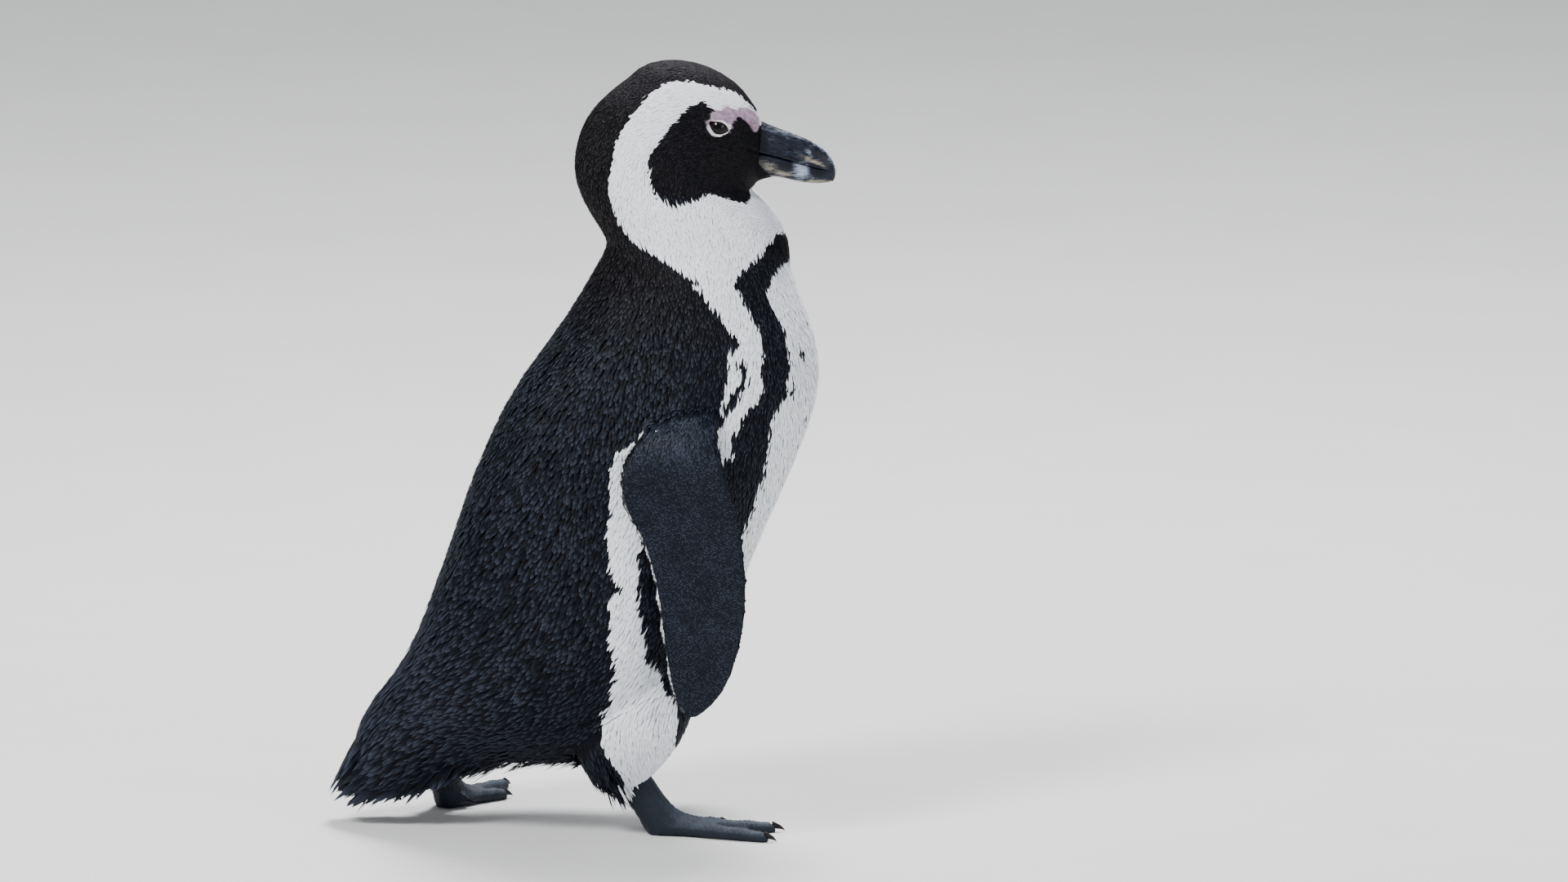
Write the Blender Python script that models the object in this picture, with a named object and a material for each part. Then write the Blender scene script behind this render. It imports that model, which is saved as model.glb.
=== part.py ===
"""African penguin, life size, standing in mid-step: one closed solid for each named part of the bird.

The bird looks along +X, stands on z = 0 and has its right side towards -Y. Head, neck, trunk and
tail are one lofted body parted by thin cuts; the legs, flippers, bill, eyes and claws are set to it.
Tables of stations are in millimetres in the bird's own frame, where y = 0 is its middle plane.
"""
import math

import bmesh
import bpy
from mathutils import Matrix, Vector

MM = 0.001
CUT = 0.3                       # width of the thin cuts between parts, mm
BIRD_AT = (0.0, -19.0, 0.0)     # the middle plane lies right of the origin, as the left foot steps out

# Body: one cross-section each, from the bill to the tail, all square to the middle plane.
# (back x, z), (belly x, z), half width, widest point towards the back (+) or belly (-), squareness
HEAD = [
    ((116.0, 461.5), (112.5, 421.5), 11.2, -0.05, 2.2),     # bill base
    ((113.2, 467.5), (111.0, 418.8), 13.8, -0.06, 2.25),
    ((108.0, 477.0), (110.0, 417.4), 17.6, -0.07, 2.3),     # forehead
    ((99.5, 486.5), (109.5, 416.8), 21.4, -0.08, 2.3),
    ((86.0, 495.0), (109.2, 416.4), 24.8, -0.08, 2.3),
    ((72.0, 499.8), (109.0, 416.1), 27.4, -0.07, 2.3),      # eyes
    ((56.0, 501.3), (108.9, 415.9), 29.4, -0.06, 2.25),     # crown
    ((41.0, 498.0), (108.8, 415.7), 31.0, -0.05, 2.2),
    ((31.0, 490.5), (108.8, 415.5), 32.2, -0.04, 2.15),     # end of the crown, where the head is cut
]
NECK = [
    ((19.5, 481.5), (109.0, 415.2), 33.4, -0.04, 2.1),
    ((10.0, 472.5), (109.8, 415.0), 34.8, -0.03, 2.05),     # nape
    ((3.0, 463.0), (112.2, 414.1), 36.4, -0.02, 2.0),
    ((-1.5, 452.5), (116.5, 411.3), 38.0, 0.0, 2.0),
    ((-4.2, 441.5), (121.5, 406.8), 39.4, 0.0, 2.0),
    ((-4.9, 430.0), (126.0, 401.3), 40.4, 0.0, 2.0),
    ((-3.0, 419.5), (129.5, 395.5), 41.2, 0.0, 2.0),
    ((1.0, 409.0), (132.3, 389.0), 42.0, 0.0, 2.0),
    ((6.3, 399.5), (134.2, 382.5), 43.0, 0.0, 2.0),
    ((11.8, 391.0), (135.0, 376.0), 44.4, 0.0, 2.0),
    ((16.3, 382.5), (135.6, 368.5), 46.4, 0.0, 2.0),        # hollow of the neck, where it is cut
]
TRUNK = [
    ((13.5, 373.5), (137.8, 358.5), 49.8, 0.02, 2.0),
    ((5.5, 359.5), (141.5, 348.0), 54.0, 0.04, 2.05),
    ((-5.0, 341.5), (147.5, 332.0), 58.8, 0.05, 2.1),
    ((-18.0, 321.5), (152.3, 315.5), 63.4, 0.05, 2.15),     # shoulders
    ((-35.5, 298.0), (154.4, 298.0), 67.4, 0.05, 2.2),
    ((-49.5, 275.0), (152.0, 277.5), 70.8, 0.04, 2.2),
    ((-61.0, 251.5), (145.5, 256.0), 73.6, 0.02, 2.2),
    ((-70.5, 228.0), (136.0, 232.5), 76.0, 0.0, 2.2),
    ((-79.5, 203.0), (124.5, 206.0), 78.4, -0.02, 2.2),
    ((-88.0, 177.0), (113.0, 180.5), 80.4, -0.03, 2.2),
    ((-97.0, 152.0), (103.0, 152.0), 81.4, -0.04, 2.2),     # belly
    ((-106.0, 128.0), (94.0, 122.0), 81.0, -0.04, 2.2),
    ((-115.0, 109.5), (84.0, 93.0), 78.4, -0.03, 2.15),
    ((-120.5, 100.5), (70.0, 67.0), 73.6, 0.0, 2.1),
    ((-124.5, 95.0), (50.0, 51.0), 67.2, 0.02, 2.1),
    ((-127.5, 91.5), (24.0, 43.5), 60.0, 0.02, 2.1),
    ((-130.0, 88.0), (-6.0, 40.5), 52.6, 0.02, 2.1),
    ((-132.5, 85.0), (-38.0, 40.5), 45.2, 0.02, 2.1),
    ((-135.5, 80.5), (-70.0, 33.5), 38.5, 0.0, 2.1),        # root of the tail, where it is cut
]
TAIL = [
    ((-141.0, 71.5), (-84.0, 27.5), 34.0, 0.0, 2.15),
    ((-147.0, 61.5), (-96.0, 22.0), 30.5, 0.0, 2.2),
    ((-152.5, 49.5), (-109.0, 16.5), 27.5, 0.0, 2.25),
    ((-157.5, 38.5), (-123.0, 12.5), 24.5, 0.0, 2.3),
    ((-162.0, 31.0), (-138.0, 10.3), 20.5, 0.0, 2.3),
    ((-164.3, 26.5), (-150.0, 12.0), 14.5, 0.0, 2.2),       # tips of the tail feathers
]
BODY = HEAD + NECK + TRUNK + TAIL
HEAD_END = len(HEAD) - 1
NECK_END = HEAD_END + len(NECK)
TRUNK_END = NECK_END + len(TRUNK)
TAIL_END = TRUNK_END + len(TAIL)
BODY_SIDES = 30                 # points round each cross-section
HEAD_RINGS = 13                 # cross-sections made along each part
NECK_RINGS = 11
TRUNK_RINGS = 22
TAIL_RINGS = 10
TAIL_TIP_DEPTH = 5.0            # how far the notches between the tips of the tail feathers reach in
TAIL_TIP_CAP = 0.3              # size of the flat end of the tail, as part of the last cross-section
FRINGE_DEPTH = 2.4              # the same for the coverts along the tail's under side

# Flipper: (rear edge x, z), (front edge x, z), distance of its middle from y = 0, thickness
FLIPPER = [
    ((54.0, 306.0), (88.0, 303.0), 46.0, 9.0),      # root, inside the shoulder
    ((50.0, 290.0), (91.0, 288.0), 60.0, 12.0),
    ((45.0, 276.0), (90.0, 276.0), 70.5, 12.5),
    ((36.0, 264.5), (88.5, 266.0), 77.0, 11.0),
    ((28.0, 253.0), (90.5, 256.0), 80.5, 9.6),
    ((25.0, 240.0), (94.5, 242.0), 82.8, 8.8),
    ((25.2, 229.0), (98.0, 229.0), 84.2, 8.3),      # elbow, the rearmost point
    ((30.0, 217.0), (101.0, 216.0), 85.5, 8.0),
    ((38.5, 202.5), (104.0, 203.0), 86.8, 7.6),
    ((45.0, 183.0), (106.3, 184.0), 88.2, 7.2),
    ((49.0, 163.0), (107.0, 164.0), 89.3, 6.7),
    ((51.5, 143.0), (105.3, 144.5), 90.2, 6.2),
    ((54.5, 123.0), (101.0, 124.0), 90.8, 5.6),
    ((57.5, 107.5), (95.0, 107.5), 91.2, 4.9),
    ((61.0, 95.5), (87.0, 95.8), 91.4, 4.2),
    ((65.0, 88.5), (79.5, 88.8), 91.5, 3.4),
    ((69.0, 85.3), (74.5, 85.5), 91.5, 2.2),        # tip
]
FLIPPER_LEAN = 3.0              # the front edge lies this much closer to the body than the rear edge
FLIPPER_EDGE = 0.45             # how much fuller the front edge is than the rear edge
FLIPPER_SIDES = 14
FLIPPER_RINGS = 19

# Upper and lower bill: (upper edge x, z), (lower edge x, z), half width
BILL_UPPER = [
    ((116.4, 461.3), (114.8, 441.9), 10.6),
    ((121.0, 459.0), (120.0, 440.7), 10.1),
    ((127.0, 456.6), (126.5, 439.0), 9.3),
    ((134.0, 454.0), (133.5, 437.0), 8.4),
    ((141.0, 451.3), (140.5, 434.9), 7.6),
    ((147.5, 448.6), (147.0, 432.9), 6.8),
    ((153.0, 445.3), (152.5, 431.3), 6.0),
    ((157.5, 441.8), (156.8, 430.3), 5.1),
    ((161.0, 437.8), (160.4, 428.8), 4.2),
    ((163.2, 433.8), (161.3, 426.0), 3.4),          # the hook turns down over the lower bill
    ((164.3, 430.0), (161.5, 423.9), 2.6),
    ((164.4, 426.3), (161.9, 422.3), 1.8),
    ((163.9, 423.4), (162.4, 421.5), 0.9),
]
BILL_LOWER = [
    ((114.7, 441.3), (113.0, 421.9), 9.4),
    ((119.5, 440.2), (118.5, 424.4), 8.9),
    ((126.5, 438.4), (126.0, 425.1), 8.0),
    ((133.5, 436.4), (133.0, 423.6), 7.1),
    ((140.5, 434.3), (140.0, 422.0), 6.3),
    ((147.0, 432.3), (146.5, 420.9), 5.5),
    ((152.5, 430.7), (152.0, 420.5), 4.7),
    ((156.8, 429.7), (156.5, 420.9), 3.8),
    ((159.7, 427.6), (159.3, 421.8), 2.7),
    ((160.7, 425.6), (160.4, 423.3), 1.2),
]
# Half of a bill section, from the upper edge to the lower edge: (part of the half width, part of
# the height)
UPPER_SECTION = [
    (0.0, 1.0), (0.34, 0.95), (0.60, 0.80), (0.80, 0.55), (0.95, 0.22), (1.0, 0.05), (0.86, 0.0),
]
LOWER_SECTION = [
    (0.84, 1.0), (1.0, 0.93), (0.97, 0.62), (0.84, 0.34), (0.60, 0.12), (0.28, 0.02), (0.0, 0.0),
]
BILL_RINGS = 14

EYE_AT = (89.0, 20.0, 460.6)    # y is for the left eye
EYE_RADIUS = 7.0
ORBIT_OUT = 31.0                # distance of the eye hollow's middle from y = 0
ORBIT_SIZE = (10.2, 7.0, 7.8)   # half sizes of the hollow that holds the lids
EYE_SIDES = 16
SOCKET_SIDES = 14
BALL_RINGS = 10

# Lower leg with its feathers: (rear x, z), (front x, z), distance of its middle from y = 0,
# half width, degrees turned out about its own middle
RIGHT_LEG = [
    ((24.7, 28.5), (45.5, 38.5), 45.6, 9.4, -4.0),      # feather edge above the foot
    ((15.0, 34.5), (54.5, 48.5), 47.0, 15.5, -2.0),
    ((3.0, 42.0), (63.5, 60.5), 48.0, 21.0, 0.0),
    ((-8.0, 55.0), (71.0, 77.0), 47.0, 26.0, 0.0),
    ((-14.0, 74.0), (76.0, 99.0), 43.0, 28.5, 0.0),
    ((-12.0, 95.0), (76.0, 121.0), 38.0, 26.0, 0.0),    # inside the trunk
]
LEFT_LEG = [
    ((-105.2, 28.5), (-84.4, 38.5), 35.0, 9.4, 61.0),
    ((-107.0, 34.5), (-75.0, 46.5), 34.5, 13.0, 45.0),
    ((-106.0, 45.0), (-56.0, 58.0), 34.0, 17.5, 25.0),
    ((-102.0, 59.0), (-37.0, 74.0), 33.0, 21.0, 10.0),
    ((-96.0, 76.0), (-24.0, 94.0), 32.0, 22.0, 0.0),
]
LEG_SIDES = 16
LEG_RINGS = 8

# Foot, in its own plane: u forwards along the middle toe from the heel, v outwards, z up
SHANK = [                        # (rear or sole u, z), (front or upper u, z), half width
    ((-16.2, 28.0), (4.6, 38.0), 8.6),
    ((-9.6, 18.6), (9.6, 30.0), 8.8),
    ((-4.4, 11.0), (14.4, 23.2), 9.4),
    ((-1.0, 4.0), (19.8, 17.4), 10.4),
    ((3.0, -1.6), (26.0, 13.6), 11.8),
    ((13.0, -2.2), (33.0, 11.6), 13.4),
    ((25.0, -1.8), (40.0, 9.6), 14.4),
    ((37.0, -0.4), (46.0, 7.4), 12.0),
]
SHANK_SIDES = 12
SHANK_RINGS = 9
TOES = {                         # start (u, v), end of the pad (u, v), tip of the claw (u, v)
    "inner": ((24.0, -6.5), (52.3, -18.1), (58.5, -20.5)),
    "middle": ((26.0, 0.0), (84.8, 0.0), (91.5, 0.0)),
    "outer": ((23.0, 7.0), (77.4, 34.9), (83.5, 38.0)),
}
TOE_WIDTH = (13.0, 9.4)          # at its start and at its end
TOE_HEIGHT = (10.4, 7.2)
TOE_KNUCKLES = 3
KNUCKLE_SWELL = 0.07             # part of the toe's width
TOE_END = 0.88                   # part of the toe's length where it starts to round off
TOE_SIDES = 10
TOE_RINGS = 8
WEB_REACH = 0.81                 # part of the toes' length that the web joins
WEB_HOLLOW = 0.16                # how far its front edge is drawn back
WEB_HEIGHT = (0.8, 3.4)          # its under side and upper side
WEB_POINTS = 7                   # points along its front edge
ARCH_HEIGHT = 0.5                # the sole lifts off the floor this much between heel and toes
ARCH_END = 0.32                  # part of the toe's length where it comes down to the floor
HIND_TOE = ((7.0, -9.0, 8.5), (12.0, -14.5, 4.5), (15.8, -18.2, 2.2))    # start, end, claw tip
HIND_TOE_RADIUS = 3.6
CLAW_RADIUS = 2.3
CLAW_GAP = CUT + 0.1             # the claws stand this far off the toes
CLAW_HEIGHT = (3.8, 0.9)         # of the middle of a claw's base and of its tip
CLAW_ARCH = 0.8                  # how far a claw arches upwards between them
CLAW_SIDES = 6
CLAW_RINGS = 4
HIND_CLAW_RADIUS = 1.7
HIND_CLAW_ARCH = 0.3
RIGHT_FOOT = (41.0, 46.0, -4.0)  # heel x, distance from y = 0, degrees turned out
LEFT_FOOT = (-92.0, 40.0, 61.0)

COLOURS = {                      # base colour, roughness
    "black_feathers": ((0.030, 0.033, 0.042), 0.75),
    "white_feathers": ((0.72, 0.74, 0.78), 0.80),
    "horn": ((0.045, 0.048, 0.055), 0.38),
    "eye": ((0.012, 0.009, 0.008), 0.06),
    "foot_skin": ((0.060, 0.068, 0.085), 0.60),
    "claw": ((0.035, 0.032, 0.030), 0.40),
}


def clear_scene():
    for thing in list(bpy.data.objects):
        bpy.data.objects.remove(thing, do_unlink=True)


def material(name):
    """Principled material of one of the bird's surfaces."""
    found = bpy.data.materials.get(name)
    if found:
        return found
    made = bpy.data.materials.new(name)
    made.use_nodes = True
    shader = made.node_tree.nodes["Principled BSDF"]
    colour, rough = COLOURS[name]
    shader.inputs["Base Color"].default_value = (*colour, 1.0)
    shader.inputs["Roughness"].default_value = rough
    shader.inputs["Metallic"].default_value = 0.0
    made.diffuse_color = (*colour, 1.0)
    return made


def mesh_object(name, bm, finish):
    """Object from a bmesh in millimetres of the bird's frame, faces turned out."""
    bmesh.ops.triangulate(bm, faces=[f for f in bm.faces if len(f.verts) == 4])
    bmesh.ops.recalc_face_normals(bm, faces=bm.faces)
    bmesh.ops.transform(bm, matrix=Matrix.Scale(MM, 4) @ Matrix.Translation(BIRD_AT), verts=bm.verts)
    mesh = bpy.data.meshes.new(name)
    bm.to_mesh(mesh)
    bm.free()
    mesh.materials.append(material(finish))
    mesh.shade_smooth()
    mesh.set_sharp_from_angle(angle=math.radians(40.0))
    thing = bpy.data.objects.new(name, mesh)
    bpy.context.scene.collection.objects.link(thing)
    return thing


def loft(rings):
    """Closed skin over rings of equally many points, with a flat cap on each end."""
    bm = bmesh.new()
    loops = [[bm.verts.new(point) for point in ring] for ring in rings]
    for low, high in zip(loops, loops[1:]):
        for i in range(len(low)):
            j = (i + 1) % len(low)
            bm.faces.new((low[i], low[j], high[j], high[i]))
    bm.faces.new(loops[0])
    bm.faces.new(loops[-1])
    return bm


def blend(table, place):
    """Values of a table of stations at a place between two of them, on a smooth curve."""
    last = len(table) - 1
    i = min(max(int(math.floor(place)), 0), last - 1)
    t = place - i
    rows = [flat(table[min(max(j, 0), last)]) for j in (i - 1, i, i + 1, i + 2)]
    return [spline(t, *values) for values in zip(*rows)]


def flat(row):
    values = []
    for item in row:
        values.extend(item if isinstance(item, tuple) else (item,))
    return values


def spline(t, before, start, end, after):
    """Catmull-Rom curve from start to end."""
    slope0 = 0.5 * (end - before)
    slope1 = 0.5 * (after - start)
    a = 2.0 * start - 2.0 * end + slope0 + slope1
    b = -3.0 * start + 3.0 * end - 2.0 * slope0 - slope1
    return ((a * t + b) * t + slope0) * t + start


def body_ring(place, sides=BODY_SIDES, swell=0.0):
    """One cross-section of the body, from the middle of the back round by the left side."""
    back_x, back_z, belly_x, belly_z, half_width, bias, square = blend(BODY, place)
    back, belly = Vector((back_x, 0, back_z)), Vector((belly_x, 0, belly_z))
    middle, arm = (back + belly) / 2, (back - belly) / 2
    arm = arm * (1.0 + swell / arm.length)
    half_width += swell
    ring = []
    for i in range(sides):
        angle = 2.0 * math.pi * i / sides
        up = math.copysign(abs(math.cos(angle)) ** (2.0 / square), math.cos(angle))
        out = math.copysign(abs(math.sin(angle)) ** (2.0 / square), math.sin(angle))
        ring.append(middle + arm * up + Vector((0, half_width * out * (1.0 + bias * up), 0)))
    return ring


def shifted(ring, towards, distance):
    """The ring moved square to its own plane, to the side where the other ring lies."""
    centre = sum(ring, Vector()) / len(ring)
    span = ring[0] - ring[len(ring) // 2]
    square = span.cross(Vector((0, 1, 0))).normalized()
    other = sum(towards, Vector()) / len(towards)
    if square.dot(other - centre) < 0:
        square.negate()
    return [point + square * distance for point in ring]


def body_rings(start, end, count, cut_start):
    """Rings from one place to another, the first drawn back to leave the thin cut."""
    rings = [body_ring(start + (end - start) * i / count) for i in range(count + 1)]
    if cut_start:
        rings[0] = shifted(rings[0], rings[1], CUT)
    return rings


def tail_rings():
    """Tail: ragged along its under side and notched between the tips of its stiff feathers."""
    rings = body_rings(TRUNK_END, TAIL_END, TAIL_RINGS, True)
    for i in range(2, len(rings) - 1, 2):
        centre = sum(rings[i], Vector()) / len(rings[i])
        rings[i] = [point + (centre - point).normalized() * FRINGE_DEPTH * share
                    for point, share in zip(rings[i], under_share(rings[i]))]
    tips = rings[-1]
    centre = sum(tips, Vector()) / len(tips)
    rings[-1] = [tip + (root - tip).normalized() * TAIL_TIP_DEPTH * (i % 2)
                 for i, (tip, root) in enumerate(zip(tips, rings[-3]))]
    rings.append([centre.lerp(tip, TAIL_TIP_CAP) for tip in tips])
    return rings


def under_share(ring):
    """How much each point of a ring lies on the under side, from 0 to 1."""
    sides = len(ring)
    return [max(0.0, -math.cos(2.0 * math.pi * i / sides)) ** 4 for i in range(sides)]


def ball(centre, radius, segments, rings):
    bm = bmesh.new()
    bmesh.ops.create_uvsphere(bm, u_segments=segments, v_segments=rings, radius=radius)
    bmesh.ops.rotate(bm, verts=bm.verts, cent=(0, 0, 0), matrix=Matrix.Rotation(math.pi / 2, 3, "X"))
    bmesh.ops.translate(bm, vec=centre, verts=bm.verts)
    return bm


def helper(thing):
    """A shape that only cuts or joins: it isn't a part of the bird."""
    thing.hide_render = True
    thing.display_type = "WIRE"
    return thing


def boolean(thing, tool, operation):
    change = thing.modifiers.new(operation.lower() + "_" + tool.name, "BOOLEAN")
    change.operation = operation
    change.solver = "EXACT"
    change.object = tool


def make_head():
    """Head with a shallow hollow for the lids and a deep socket for each eyeball."""
    head = mesh_object("head", loft(body_rings(0.0, HEAD_END, HEAD_RINGS, False)), "black_feathers")
    for side, sign in (("left", 1), ("right", -1)):
        x, y, z = EYE_AT
        orbit_shape = ball((0, 0, 0), 1.0, SOCKET_SIDES, 8)
        bmesh.ops.scale(orbit_shape, vec=ORBIT_SIZE, verts=orbit_shape.verts)
        bmesh.ops.translate(orbit_shape, vec=(x, sign * ORBIT_OUT, z), verts=orbit_shape.verts)
        orbit = mesh_object("orbit_" + side, orbit_shape, "black_feathers")
        boolean(head, helper(orbit), "DIFFERENCE")
        socket_shape = ball((x, sign * y, z), EYE_RADIUS + CUT, SOCKET_SIDES, BALL_RINGS)
        socket = mesh_object("socket_" + side, socket_shape, "eye")
        boolean(head, helper(socket), "DIFFERENCE")


def make_neck():
    mesh_object("neck", loft(body_rings(HEAD_END, NECK_END, NECK_RINGS, True)), "white_feathers")


def make_trunk():
    mesh_object("trunk", loft(body_rings(NECK_END, TRUNK_END, TRUNK_RINGS, True)), "black_feathers")


def make_tail():
    mesh_object("tail", loft(tail_rings()), "black_feathers")


def trunk_room():
    """The trunk grown by the width of the cut: it trims what grows from the trunk's side."""
    step = (TRUNK_END - NECK_END) / TRUNK_RINGS
    rings = [body_ring(NECK_END + step * i, swell=CUT) for i in range(TRUNK_RINGS + 1)]
    rings[0] = shifted(rings[0], rings[1], -CUT)
    rings[-1] = shifted(rings[-1], rings[-2], -CUT)
    return helper(mesh_object("trunk_room", loft(rings), "black_feathers"))


def tail_room():
    """The tail grown in the same way, for the leg that passes beside its root."""
    step = (TAIL_END - TRUNK_END) / TAIL_RINGS
    rings = [body_ring(TRUNK_END + step * (i - 0.3), swell=CUT) for i in range(TAIL_RINGS)]
    return helper(mesh_object("tail_room", loft(rings), "black_feathers"))


def flipper_ring(place, sign):
    rear_x, rear_z, front_x, front_z, offset, thick = blend(FLIPPER, place)
    ring = []
    for i in range(FLIPPER_SIDES):
        angle = 2.0 * math.pi * i / FLIPPER_SIDES
        along = 0.5 + 0.5 * math.cos(angle)
        bulge = 0.5 * thick * math.sin(angle) * (1.0 + FLIPPER_EDGE * math.cos(angle))
        ring.append(Vector((rear_x + (front_x - rear_x) * along,
                            sign * (offset + FLIPPER_LEAN * (0.5 - along) + bulge),
                            rear_z + (front_z - rear_z) * along)))
    return ring


def places_along(table, count):
    """Places evenly along a table of stations, from its first row to its last."""
    return [(len(table) - 1) * i / count for i in range(count + 1)]


def make_flippers(room):
    for side, sign in (("left", 1), ("right", -1)):
        places = places_along(FLIPPER, FLIPPER_RINGS)
        flipper = mesh_object("flipper_" + side, loft([flipper_ring(p, sign) for p in places]),
                              "black_feathers")
        boolean(flipper, room, "DIFFERENCE")


def bill_ring(table, half_section, place):
    top_x, top_z, low_x, low_z, half_width = blend(table, place)
    right = [(-out, up) for out, up in half_section]
    left = [(out, up) for out, up in reversed(half_section) if out > 0]
    return [Vector((low_x + (top_x - low_x) * up, half_width * out, low_z + (top_z - low_z) * up))
            for out, up in right + left]


def make_bill():
    for name, table, section in (("bill_upper", BILL_UPPER, UPPER_SECTION),
                                 ("bill_lower", BILL_LOWER, LOWER_SECTION)):
        rings = [bill_ring(table, section, place) for place in places_along(table, BILL_RINGS)]
        mesh_object(name, loft(rings), "horn")


def make_eyes():
    x, y, z = EYE_AT
    for side, sign in (("left", 1), ("right", -1)):
        mesh_object("eye_" + side, ball((x, sign * y, z), EYE_RADIUS, EYE_SIDES, BALL_RINGS), "eye")


def leg_ring(table, place, sign):
    rear_x, rear_z, front_x, front_z, offset, half_width, turned = blend(table, place)
    middle = Vector(((rear_x + front_x) / 2, sign * offset, (rear_z + front_z) / 2))
    turn = Matrix.Rotation(sign * math.radians(turned), 3, "Z")
    ring = []
    for i in range(LEG_SIDES):
        angle = 2.0 * math.pi * i / LEG_SIDES
        along = 0.5 * math.cos(angle)
        arm = Vector(((front_x - rear_x) * along, half_width * math.sin(angle),
                      (front_z - rear_z) * along))
        ring.append(middle + turn @ arm)
    return ring


def make_legs(rooms):
    for side, sign, table in (("left", 1, LEFT_LEG), ("right", -1, RIGHT_LEG)):
        rings = [leg_ring(table, place, sign) for place in places_along(table, LEG_RINGS)]
        leg = mesh_object("leg_" + side, loft(rings), "white_feathers")
        for room in rooms:
            boolean(leg, room, "DIFFERENCE")


def foot_frame(foot, sign):
    """From the foot's own u, v, z to the bird's frame."""
    heel_x, offset, turned = foot
    forward = Vector((math.cos(math.radians(turned)), sign * math.sin(math.radians(turned)), 0))
    outward = Vector((-math.sin(math.radians(turned)), sign * math.cos(math.radians(turned)), 0))
    heel = Vector((heel_x, sign * offset, 0))
    return lambda u, v, z: heel + forward * u + outward * v + Vector((0, 0, z))


def shank_rings(place_point):
    """Scaly shank and instep, with the heel's flat on the floor."""
    rings = []
    for place in places_along(SHANK, SHANK_RINGS):
        rear_u, rear_z, front_u, front_z, half_width = blend(SHANK, place)
        ring = []
        for j in range(SHANK_SIDES):
            angle = 2.0 * math.pi * j / SHANK_SIDES
            along = 0.5 + 0.5 * math.cos(angle)
            z = rear_z + (front_z - rear_z) * along
            ring.append(place_point(rear_u + (front_u - rear_u) * along, half_width * math.sin(angle),
                                    max(z, 0.0)))
        rings.append(ring)
    return rings


def toe_rings(toe, place_point):
    """One toe: swollen at its knuckles, flat under the pad, rounded at its end."""
    (u0, v0), (u1, v1), _ = toe
    ahead = Vector((u1 - u0, v1 - v0))
    length = ahead.length
    ahead.normalize()
    across = Vector((-ahead.y, ahead.x))
    rings = []
    for i in range(TOE_RINGS + 1):
        t = math.sin(0.5 * math.pi * i / TOE_RINGS)
        knuckle = 1.0 + KNUCKLE_SWELL * math.cos(2.0 * math.pi * TOE_KNUCKLES * t)
        rounding = max((t - TOE_END) / (1.0 - TOE_END), 0.0)
        end = math.sqrt(1.0 - 0.86 * rounding ** 2)
        half_width = 0.5 * (TOE_WIDTH[0] + (TOE_WIDTH[1] - TOE_WIDTH[0]) * t) * knuckle * end
        height = (TOE_HEIGHT[0] + (TOE_HEIGHT[1] - TOE_HEIGHT[0]) * t) * knuckle * end
        floor = ARCH_HEIGHT * min(max((ARCH_END - t) / 0.1, 0.0), 1.0)
        ring = []
        for j in range(TOE_SIDES):
            angle = 2.0 * math.pi * j / TOE_SIDES
            side = half_width * math.sin(angle)
            z = max(0.42 * height + 0.58 * height * math.cos(angle), floor)
            ring.append(place_point(u0 + ahead.x * length * t + across.x * side,
                                    v0 + ahead.y * length * t + across.y * side, z))
        rings.append(ring)
    return rings


def web_plate(first, second, place_point):
    """Skin stretched between two toes, hollow at its front edge."""
    start = Vector(first[0]).lerp(Vector(second[0]), 0.5)
    reach_a = Vector(first[0]).lerp(Vector(first[1]), WEB_REACH)
    reach_b = Vector(second[0]).lerp(Vector(second[1]), WEB_REACH)
    outline = [start]
    for i in range(WEB_POINTS):
        t = i / (WEB_POINTS - 1)
        along = reach_a.lerp(reach_b, t)
        hollow = WEB_HOLLOW * 4.0 * t * (1.0 - t)
        outline.append(along.lerp(start, hollow))
    rings = [[place_point(p.x, p.y, z) for p in outline] for z in WEB_HEIGHT]
    return loft(rings)


def claw_rings(base, tip, radius, arch):
    """Curved, pointed claw from its base to its tip, arched upwards in between."""
    ahead = tip - base
    across = Vector((-ahead.y, ahead.x, 0)).normalized()
    rings = []
    for i in range(CLAW_RINGS + 1):
        t = i / CLAW_RINGS
        centre = base + ahead * t + Vector((0, 0, arch * 4.0 * t * (1.0 - t)))
        slope = (ahead + Vector((0, 0, arch * 4.0 * (1.0 - 2.0 * t)))).normalized()
        over = across.cross(slope)
        if over.z < 0:
            over.negate()
        size = radius * max((1.0 - t) ** 0.8, 0.10)
        ring = []
        for j in range(CLAW_SIDES):
            angle = 2.0 * math.pi * j / CLAW_SIDES
            ring.append(centre + across * (0.8 * size * math.sin(angle)) + over * (size * math.cos(angle)))
        rings.append(ring)
    return rings


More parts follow.
